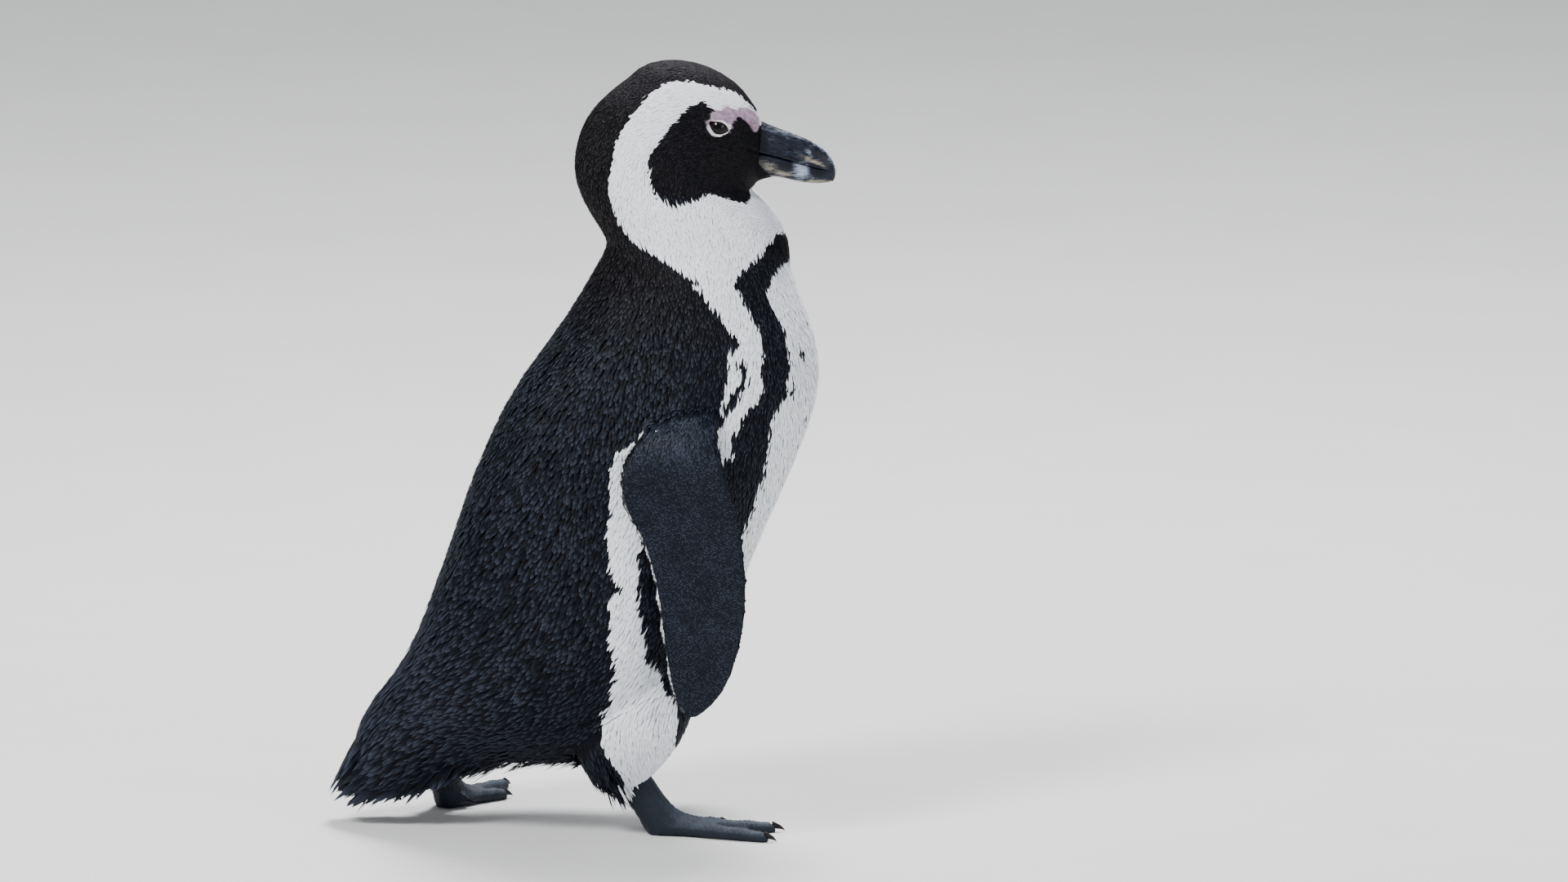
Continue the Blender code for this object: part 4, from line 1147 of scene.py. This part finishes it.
def skin_material():
    """Down-covered skin under the feathers, bare pink skin by the eye, scaly feet whose upturned faces are
    paler as painted light from above.
    """
    material, n, shader = new_material("penguin skin")
    ink, foot, bare = n.value("ink"), n.value("foot"), n.value("bare")
    down = n.blend(ink, rgb(0.78, 0.80, 0.84), rgb(0.006, 0.006, 0.008))
    down = n.blend(n.noise(220.0, 3.0), down, n.blend(ink, rgb(0.66, 0.68, 0.72), rgb(0.014, 0.014, 0.018)))
    pink = n.blend(n.span(n.noise(320.0, 4.0), 0.35, 0.65), rgb(0.235, 0.155, 0.215), rgb(0.35, 0.26, 0.34))
    pink = n.blend(n.value("lid"), pink, rgb(0.74, 0.72, 0.73))
    line = n.span(n.cells(760.0), 0.0, 0.30)
    horn = n.blend(n.noise(60.0, 4.0), rgb(0.006, 0.009, 0.016), rgb(0.020, 0.028, 0.042))
    # painted light: the upturned faces of the feet are paler, as if lit from above
    horn = n.blend(n.math("MULTIPLY", n.value("upper"), n.noise(140.0, 3.0)), horn, rgb(0.09, 0.115, 0.15))
    horn = n.blend(line, n.blend(0.55, horn, rgb(0.008, 0.010, 0.014)), horn)
    colour = n.blend(bare, down, pink)
    colour = n.blend(foot, colour, horn)
    n.join(colour, shader.inputs["Base Color"])
    n.join(n.math("MULTIPLY_ADD", foot, -0.15, 0.75), shader.inputs["Roughness"])
    fill_in(shader, Specular_IOR_Level=0.16)
    height = n.math("ADD", n.math("MULTIPLY", line, foot), n.math("MULTIPLY", n.noise(700.0, 3.0), 0.4))
    relief(n, shader, height, 0.5, 0.0003)
    return material


def eye_material():
    """Dark brown iris that reddens at its edge, black pupil, wet surface."""
    material, n, shader = new_material("penguin eye")
    axis = n.value("from_axis")
    fleck = n.noise(900.0, 4.0)
    iris = n.blend(n.span(fleck, 0.35, 0.7), rgb(0.004, 0.0025, 0.0022), rgb(0.011, 0.006, 0.0045))
    iris = n.blend(n.span(axis, 30.0, 46.0), iris, rgb(0.012, 0.0055, 0.0045))
    colour = n.blend(n.span(axis, 24.0, 28.0), rgb(0.0015, 0.0015, 0.002), iris)
    colour = n.blend(n.span(axis, 47.0, 54.0), colour, rgb(0.006, 0.005, 0.006))
    n.join(colour, shader.inputs["Base Color"])
    fill_in(shader, Roughness=0.12, Specular_IOR_Level=0.05, Coat_Weight=0.35, Coat_Roughness=0.02,
            Coat_IOR=1.40)
    return material


def horn_material():
    """Slate-black horn with ivory, pale slate-blue and dark clouds, streaked along the plates; the pale
    patches along the culmen are painted sheen, the pale lines beside the grooves painted highlight, and the
    dark grooves, nostril and gape line painted shade.
    """
    material, n, shader = new_material("bill horn")
    stretch = n.add("ShaderNodeMapping")
    fill_in(stretch, Rotation=(0.0, math.radians(-24.0), 0.0), Scale=(0.16, 1.0, 1.4))
    n.join(n.place(), stretch.inputs["Vector"])
    streak = n.noise(800.0, 4.0, 0.6, at=stretch.outputs[0])
    fine = n.noise(2600.0, 3.0, 0.6, at=stretch.outputs[0])
    cloud = n.noise(170.0, 4.0, 0.6)
    stir = n.math("ADD", n.math("MULTIPLY", n.math("SUBTRACT", streak, 0.5), 0.9),
                  n.math("MULTIPLY", n.math("SUBTRACT", cloud, 0.5), 0.9))
    slate = n.blend(n.span(cloud, 0.3, 0.7), rgb(0.0015, 0.0028, 0.0075), rgb(0.0065, 0.0100, 0.0210))
    slate = n.blend(n.span(streak, 0.50, 0.74, 0.0, 0.40), slate, rgb(0.045, 0.060, 0.095))
    slate = n.blend(n.span(fine, 0.55, 0.78, 0.0, 0.25), slate, rgb(0.075, 0.090, 0.130))
    colour = slate
    # the pale patches along the culmen are painted sheen; the other pale patches are the horn's own colour
    for tint, low, high, shade in (("grey_and_sheen", 0.10, 0.90, rgb(0.40, 0.46, 0.60)),
                                   ("cream", 0.10, 0.95, rgb(0.36, 0.33, 0.26)),
                                   ("dark", 0.20, 0.85, rgb(0.0018, 0.0030, 0.0070)),
                                   ("ruddy", 0.10, 0.95, rgb(0.046, 0.024, 0.024))):
        colour = n.blend(n.span(n.math("ADD", n.value(tint), stir), low, high), colour, shade)
    # painted highlight: faint pale lines beside the grooves
    colour = n.blend(n.math("MULTIPLY", n.value("ridge_highlight"), 0.02), colour, rgb(0.24, 0.26, 0.30))
    # painted shade: the grooves and the nostril darkened in the colour
    colour = n.blend(n.math("MULTIPLY", n.value("groove"), 0.75), colour, rgb(0.002, 0.003, 0.006))
    n.join(colour, shader.inputs["Base Color"])
    n.join(n.span(streak, 0.3, 0.8, 0.28, 0.46), shader.inputs["Roughness"])
    fill_in(shader, Specular_IOR_Level=0.20)
    relief(n, shader, streak, 0.5)
    return material


def claw_material():
    material, n, shader = new_material("claw horn")
    grain = n.noise(800.0, 4.0)
    colour = n.blend(n.span(grain, 0.3, 0.7), rgb(0.005, 0.005, 0.006), rgb(0.017, 0.016, 0.017))
    colour = n.blend(n.math("MULTIPLY", n.value("tip"), 0.5), colour, rgb(0.020, 0.018, 0.018))
    n.join(colour, shader.inputs["Base Color"])
    n.join(n.span(grain, 0.3, 0.7, 0.38, 0.56), shader.inputs["Roughness"])
    fill_in(shader, Specular_IOR_Level=0.09)
    relief(n, shader, grain, 0.4)
    return material


# ---- the skin's markings and the coat -----------------------------------------------------------

def add_skin():
    """The skin with its markings, lids and scaly feet, in place of all the flesh."""
    mesh = add_lids(make_skin_mesh())
    points = points_of(mesh)
    part = nearest_node(points)
    foot = np.char.startswith(part, "foot").astype(float)
    for limb in THIGH_EDGE:
        foot = np.where((part == limb) & (thigh_room(points, limb) < SHANK_SKIN), 1.0, foot)
    edges = edges_of(mesh)
    ink = ink_at(points, normals_of(mesh), np.char.startswith(part, "flipper"))
    paint(mesh, "ink", ease(-0.6, 0.6, ink))
    paint(mesh, "foot", soften(foot, edges, 2))
    # how far the feet's faces turn up, for their painted light from above
    paint(mesh, "upper", foot * ease(0.2, 0.95, normals_of(mesh)[:, 2]))
    paint(mesh, "bare", ease(-0.5, 0.5, bare_mark(points)))
    smooth(mesh)
    return place("skin", mesh, skin_material(), "foot_skin", FLESH)


TAIL_FAN = [    # on the side view: tip across, tip up, degrees of the vane above level, length, width
    (-163.5, 19.5, 38, 58, 4.6), (-153.5, 9.8, 40, 56, 4.6), (-146.5, 9.2, 42, 52, 4.4),
    (-139.0, 9.8, 44, 48, 4.4), (-130.5, 11.0, 47, 42, 4.2), (-121.0, 13.4, 50, 36, 4.0),
    (-111.5, 14.5, 53, 30, 3.6), (-99.0, 19.0, 56, 24, 3.2), (-88.0, 24.5, 58, 20, 3.0),
]
FAN_STEPS = 2                   # feathers from each tip of the fan to the next
FAN_LAYERS, FAN_LIFT = 3, 6.0
FAN_HALF, FAN_SPREAD = 12.5, 0.22           # half width at the tail's end, and how it widens forward
TAIL_TOP = 9                    # long feathers across the top of the tail
TOP_LAYERS, TOP_LIFT = 4, 7.0
TOP_HALF, TOP_END = 15.0, (-164.0, 20.0)    # half width, and x and z of the middle tip
TOP_WAY = (0.42, 0.0, 0.91)     # up along the tail's back
TOP_LENGTH, TOP_WIDTH = 40.0, 4.8
FAN_RISE = 0.8                  # height over the skin of the tail's long feathers
FAN_COLUMNS = 5


def fan_vanes(coat, rng):
    """The long stiff feathers of the tail: rows down both sides and across the top, tip by tip."""
    long_ones = []              # tip, way back to the root, length, width, way that the face looks
    fan = np.array(TAIL_FAN)
    at = np.arange((len(fan) - 1) * FAN_STEPS + 1) / FAN_STEPS
    fan = np.stack([np.interp(at, np.arange(len(fan)), column) for column in fan.T], 1)
    for layer in range(FAN_LAYERS):
        for u, v, degrees, length, width in fan:
            for sign in (-1, 1):
                lean = math.radians(degrees + rng.normal(0.0, 2.0))
                y = sign * (FAN_HALF + FAN_SPREAD * (u + 163.0) - 1.6 * layer + rng.normal(0.0, 0.7))
                back = np.array([math.cos(lean), 0.0, math.sin(lean)])
                lift = FAN_LIFT * layer + rng.normal(0.0, 1.2)
                tip = np.array([u, y, v + VIEW_SLOPE * abs(y)]) + back * lift + (2.5 * layer, 0.0, 0.0)
                long_ones.append((tip, unit(back + (0.0, sign * 0.10, 0.0)), length, width,
                                  (-0.25, sign, 0.35)))
    back = np.array(TOP_WAY)
    for layer in range(TOP_LAYERS):
        for y in np.linspace(-TOP_HALF, TOP_HALF, TAIL_TOP) + rng.normal(0.0, 0.8, TAIL_TOP):
            tip = np.array([TOP_END[0] + 0.022 * y * y, y, TOP_END[1] + 0.02 * y * y])
            tip = tip + back * (TOP_LIFT * layer + rng.normal(0.0, 1.0))
            long_ones.append((tip, unit(back + (0.0, y * 0.012, 0.0)), TOP_LENGTH, TOP_WIDTH,
                              (-0.91, y * 0.05, 0.42)))
    tips, backs, lengths, widths, faces = (np.array(column) for column in zip(*long_ones))
    roots, _ = coat.settle(tips + backs * lengths[:, None])
    ways = unit(tips - roots)
    normals = unit(faces - ways * (faces * ways).sum(1, keepdims=True))
    reach = np.linalg.norm(tips - roots, axis=1)
    numbers = np.stack((reach, reach, widths, np.full(len(roots), FAN_RISE)), 1)
    vanes = lay_vanes(coat, roots, normals, lambda p: ways, numbers, POINTED_VANE, FAN_COLUMNS, rng,
                      stiff=True)
    return vanes, roots


RUMP = TAIL_END - 150.0         # where the coverts of the tail begin, along the spine
FACE_END, HEAD_END, NECK_END, BREAST_END = 52, 95, 190, 330     # along the spine too
FEATHERS = {                    # piece: stretch of the spine, on the front or not, outline, columns
    "feathers_face": (0, FACE_END, None, FINE_VANE, 3),
    "feathers_head": (FACE_END, HEAD_END, None, FINE_VANE, 3),
    "feathers_neck": (HEAD_END, NECK_END, None, SOFT_VANE, 3),
    "feathers_breast": (NECK_END, BREAST_END, True, SOFT_VANE, 3),
    "feathers_belly": (BREAST_END, RUMP, True, SOFT_VANE, 3),
    "feathers_upper_back": (NECK_END, BREAST_END, False, SCALE_VANE, 4),
    "feathers_lower_back": (BREAST_END, RUMP, False, SCALE_VANE, 4),
    "feathers_tail_coverts": (RUMP, math.inf, None, POINTED_VANE, 4),
}
BODY_ROWS = ((0.25, 0, 1), 1.5)             # rows along this axis are this many times further apart
FRONT_FROM = 8.0                # the front begins this far from the spine, towards the belly,
FRONT_WHITE = -2.0              # or this far outside the black
SHORTEST = 7.0                  # feathers are cut where the tail ends, but not below this length
END_CAP = 34.0                  # the tail's blunt end is left to its long feathers over this run,
END_FACING = 0.5                # where the skin faces further back than this
HEAD_BORDER, BODY_BORDER, LIMB_BORDER = 0.45, 0.95, 0.3     # how far black and white mix at an edge
PINK_EDGE = -0.4                # feathers stand no closer to the bare skin than this,
PINK_TOP = 471.0                # but above this height
SPARSE_REACH, SPARSE_SHARE = 2.6, 0.4       # this far into it there is this share of them
PINK_LAP = 0.3                  # no other tip reaches further than this over the bare skin
BROWN_FADE = (100.0, 240.0)     # along the spine, from the brownish head to the blue-black back
BROWN_FRONT = 0.3               # how brown the front is
CROWN_FADE = (466.0, 492.0)     # height, from the face to the crown, whose feathers are paler partly from wear and partly as painted sun sheen
RUMP_FADE = (RUMP - 30.0, RUMP + 50.0)
# how much paler the crown's and the tail's feathers are: partly wear, partly painted sun sheen on the crown
# and painted glints on the tail
CROWN_WEAR_AND_SHEEN, TAIL_WEAR_AND_GLINT = 0.7, 0.45
LIMB_TONE = (0.2, 0.6)          # least tone of a limb's feathers, and how much it varies


WING_FLAT = 0.55                # faces of a flipper turned this much sideways have feathers in rows
WING_ROWS = (1.30, 1.55, 24.0)  # apart in a row, row to row, degrees that the rows lean
LIMB_ROWS = 1.3                 # elsewhere on limbs rows are this many times further apart
LIMB_COLUMNS = 3
ROW_STRAY = 0.07                # how far roots stray from the rows
HEM_INK = 0.93                  # the thin hem of a flipper's rear edge is brownish
HEM_WIDTH, HEM_OUTER = 4.0, 1.0             # on its inner and outer face
HEM_TOP = 244.0


def wing_rows(coat, limb, rng):
    """Roots in even, leaning rows over both faces of a flipper."""
    apart, step, degrees = WING_ROWS
    lean = math.radians(degrees)
    places = coat.centre[coat.part == limb]
    low, high = places.min(0), places.max(0)
    middle, reach = (low + high) / 2, np.linalg.norm(high - low)
    roots, normals = [], []
    for face in (-1.0, 1.0):
        for r in range(int(-reach / step / 2), int(reach / step / 2)):
            for k in range(int(-reach / apart / 2), int(reach / apart / 2)):
                a, b = (k + 0.5 * (r % 2)) * apart, r * step
                x = middle[0] + a * math.cos(lean) + b * math.sin(lean)
                z = middle[2] - a * math.sin(lean) + b * math.cos(lean)
                if not (low[0] < x < high[0] and low[2] < z < high[2]):
                    continue
                far = middle[1] + face * 60.0
                found, normal, index, _ = coat.tree.ray_cast(Vector((x, far, z)), Vector((0, -face, 0)), 90.0)
                if found and coat.part[index] == limb and abs(normal[1]) > WING_FLAT:
                    roots.append(found)
                    normals.append(normal)
    roots = np.array(roots)
    return roots + rng.normal(0.0, ROW_STRAY, roots.shape) * (1, 0, 1), np.array(normals)


def middle_of(vanes, outline, columns):
    """A point near each vane's tip, on its shaft: where its colour is looked up."""
    return vanes[:, columns * (len(outline) - 1) + columns // 2]


def add_body_feathers(coat, head_plume, body_plume, rng):
    bare = bare_mark(coat.centre)
    sparse = (coat.centre[:, 2] > PINK_TOP) & (rng.random(len(bare)) < SPARSE_SHARE)
    body = np.isin(coat.part, ["head", "neck", "trunk", "tail"])
    body &= (bare < PINK_EDGE) | (bare < SPARSE_REACH) & sparse
    roots, normals = coat.scatter(body, coat_numbers, *BODY_ROWS, rng)
    numbers = coat_numbers(roots)
    _, _, run, offset = along_spine(roots)
    front = (offset > FRONT_FROM) | (black_mark(roots) < FRONT_WHITE)
    numbers[:, 1] = np.minimum(numbers[:, 1], (TAIL_END - run).clip(SHORTEST))
    end_cap = ((normals * body_way(roots)).sum(1) > END_FACING) & (run > TAIL_END - END_CAP)
    end_cap |= run > TAIL_END - END_CAP / 2
    for name, (start, end, on_front, outline, columns) in FEATHERS.items():
        chosen = (run >= start) & (run < end) & ~end_cap
        if on_front is not None:
            chosen &= front == on_front
        at, up, sizes, far = roots[chosen], normals[chosen], numbers[chosen], run[chosen]
        vanes = lay_vanes(coat, at, up, body_way, sizes, outline, columns, rng)
        seen = middle_of(vanes, outline, columns)
        clear = (bare_mark(seen) < PINK_LAP) | (at[:, 2] > PINK_TOP)
        vanes, seen, at, up, far = vanes[clear], seen[clear], at[clear], up[clear], far[clear]
        ink = ink_at(seen, up) + rng.normal(0.0, HEAD_BORDER if end <= NECK_END else BODY_BORDER, len(at))
        crown = within(*on_side(at), BACK) > -2.0
        warm = (1.0 - ease(*BROWN_FADE, far)) * np.where(crown, 1.0, BROWN_FRONT)
        # crown and tail feathers are made paler through their tone: partly wear, partly painted sheen and
        # glints
        wear_and_glint = np.maximum(TAIL_WEAR_AND_GLINT * ease(*RUMP_FADE, far), CROWN_WEAR_AND_SHEEN * ease(*CROWN_FADE, at[:, 2]))
        coat_piece(name, vanes, outline, columns, ink > 0, rng.random(len(at)) + wear_and_glint, warm,
                   body_chart(at), head_plume if end <= HEAD_END else body_plume, "black_feathers")


def add_tail_fan(coat, plume, rng):
    vanes, roots = fan_vanes(coat, rng)
    # the tail's long feathers are paler in the same way: partly wear, partly painted glints
    coat_piece("feathers_tail", vanes, POINTED_VANE, FAN_COLUMNS, np.ones(len(roots)),
               rng.random(len(roots)) + TAIL_WEAR_AND_GLINT, np.zeros(len(roots)), body_chart(roots), plume,
               "black_feathers")


def add_flipper_feathers(coat, limb, plume, rng):
    numbers_of = limb_numbers(limb)
    flat = np.abs(coat.normal_of_faces()[:, 1]) > WING_FLAT
    roots, normals = coat.scatter((coat.part == limb) & ~flat, numbers_of, LIMB_WAY[limb], LIMB_ROWS, rng)
    rows = wing_rows(coat, limb, rng)
    roots, normals = np.vstack((roots, rows[0])), np.vstack((normals, rows[1]))
    shape = FINE_VANE, LIMB_COLUMNS
    vanes = lay_vanes(coat, roots, normals, limb_way(limb), numbers_of(roots), *shape, rng)
    seen = middle_of(vanes, *shape)
    ink = ink_at(seen, normals, True) + rng.normal(0.0, LIMB_BORDER, len(roots))
    from_rear = np.minimum(*(away(at[:, 0], at[:, 2], FLIPPER_REAR) for at in (seen, roots)))
    wide = np.where(looks_out(roots, normals) > OUTER_FACE, HEM_OUTER, HEM_WIDTH)
    hem = (from_rear < wide) & (seen[:, 2] < HEM_TOP)
    add_limb_piece(limb, vanes, shape, np.where(hem, HEM_INK, ink > 0), roots, normals, plume,
                   "flipper_feathers", rng)


def add_thigh_feathers(coat, limb, plume, rng):
    numbers_of = limb_numbers(limb)
    roots, normals = coat.scatter(coat.part == limb, numbers_of, LIMB_WAY[limb], LIMB_ROWS, rng)
    numbers, room = numbers_of(roots), thigh_room(roots, limb)
    tuft = THIGH_TUFT * (1.0 - ease(*TUFT_FADE, roots[:, 0] - THIGH_EDGE[limb][0]))
    tuft = tuft * ease(0.0, 3.0, black_mark(roots))
    numbers[:, 1] = np.minimum(numbers[:, 1] + tuft, room + THIGH_OVER + tuft)
    above = room > 1.0
    roots, normals, numbers = roots[above], normals[above], numbers[above]
    shape = SOFT_VANE, LIMB_COLUMNS
    vanes = lay_vanes(coat, roots, normals, limb_way(limb), numbers, *shape, rng)
    ink = ink_at(middle_of(vanes, *shape), normals) + rng.normal(0.0, LIMB_BORDER, len(roots))
    add_limb_piece(limb, vanes, shape, ink > 0, roots, normals, plume, "black_feathers", rng)


def add_limb_piece(limb, vanes, shape, ink, roots, normals, plume, slot, rng):
    least, more = LIMB_TONE
    tone = least + more * rng.random(len(roots))
    coat_piece("feathers_" + limb, vanes, *shape, ink, tone, np.zeros(len(roots)),
               limb_chart(roots, normals, limb), plume, slot)


def add_coat(skin):
    rng = np.random.default_rng(20)
    coat = Coat(skin.data)
    white, root = (0.80, 0.83, 0.88), (0.76, 0.79, 0.84)
    # the black tip colours are partly the feathers' own paler edges, partly painted glints
    head = plumage("head plumage", (0.0022, 0.0023, 0.0036), (0.010, 0.010, 0.014), white, root, 0.7, 0.06)
    body = plumage("body plumage", (0.0016, 0.0020, 0.0040), (0.022, 0.027, 0.040), white, root, 0.7, 0.07)
    wing = plumage("flipper plumage", (0.0028, 0.0042, 0.0085), (0.0340, 0.0440, 0.0650),
                   (0.72, 0.66, 0.66), (0.62, 0.55, 0.55), 0.75, 0.10)
    add_body_feathers(coat, head, body, rng)
    add_tail_fan(coat, body, rng)
    for side in SIDES:
        add_flipper_feathers(coat, "flipper_" + side, wing, rng)
    for side in SIDES:
        add_thigh_feathers(coat, "leg_" + side, body, rng)


# ---- stage --------------------------------------------------------------------------------------

LENS = 600.0
SENSOR = 36.0
FRAME_WIDTH = 1017.6            # mm across the view at the bird's middle plane
FRAME_CENTRE = (131.2, 250.8)   # x, z on the middle plane


def add_camera():
    data = bpy.data.cameras.new("camera")
    data.lens = LENS
    data.sensor_width = SENSOR
    data.clip_end = 80.0
    camera = bpy.data.objects.new("camera", data)
    bpy.context.scene.collection.objects.link(camera)
    distance = LENS / SENSOR * FRAME_WIDTH * MM
    tilt = math.radians(ELEVATION)
    target = Vector(in_row([FRAME_CENTRE[0], 0.0, FRAME_CENTRE[1]]))
    camera.location = target + Vector((0, -math.cos(tilt), math.sin(tilt))) * distance
    camera.rotation_euler = (math.pi / 2 - tilt, 0, 0)
    bpy.context.scene.camera = camera


LIGHTS = {                      # size, watts, place, in metres
    "key": (0.9, 120.0, (-1.4, -1.6, 2.5)),
    "fill": (1.6, 34.0, (2.4, -2.2, 1.2)),
    "top": (0.9, 170.0, (0.4, 1.3, 2.8)),
}
AIM = (0.0, 0.0, 0.25)
FLOOR_HALF = 30.0


def add_light(name, size, energy, location):
    data = bpy.data.lights.new(name, "AREA")
    data.size = size
    data.energy = energy
    light = bpy.data.objects.new(name, data)
    light.location = location
    light.rotation_euler = (Vector(AIM) - Vector(location)).to_track_quat("-Z", "Y").to_euler()
    bpy.context.scene.collection.objects.link(light)


def add_stage():
    floor_mesh = bpy.data.meshes.new("floor")
    r = FLOOR_HALF
    floor_mesh.from_pydata([(-r, -r, 0), (r, -r, 0), (r, r, 0), (-r, r, 0)], [], [(0, 1, 2, 3)])
    floor = bpy.data.objects.new("floor", floor_mesh)
    bpy.context.scene.collection.objects.link(floor)
    material, n, shader = new_material("studio floor")
    grain = n.blend(n.noise(9.0, 5.0), rgb(0.60, 0.60, 0.59), rgb(0.66, 0.66, 0.65))
    n.join(grain, shader.inputs["Base Color"])
    fill_in(shader, Roughness=0.9)
    floor_mesh.materials.append(material)
    world = bpy.data.worlds.new("studio")
    bpy.context.scene.world = world
    world.use_nodes = True
    fill_in(world.node_tree.nodes["Background"], Color=rgb(0.80, 0.83, 0.88), Strength=0.62)
    for name, (size, energy, location) in LIGHTS.items():
        add_light(name, size, energy, location)


skin = add_skin()
add_coat(skin)
add_eyes()
horn = horn_material()
add_horn("upper_bill", ["bill_upper"], horn, "horn")
add_horn("lower_bill", ["bill_lower"], horn, "horn")
add_claws()
add_camera()
add_stage()
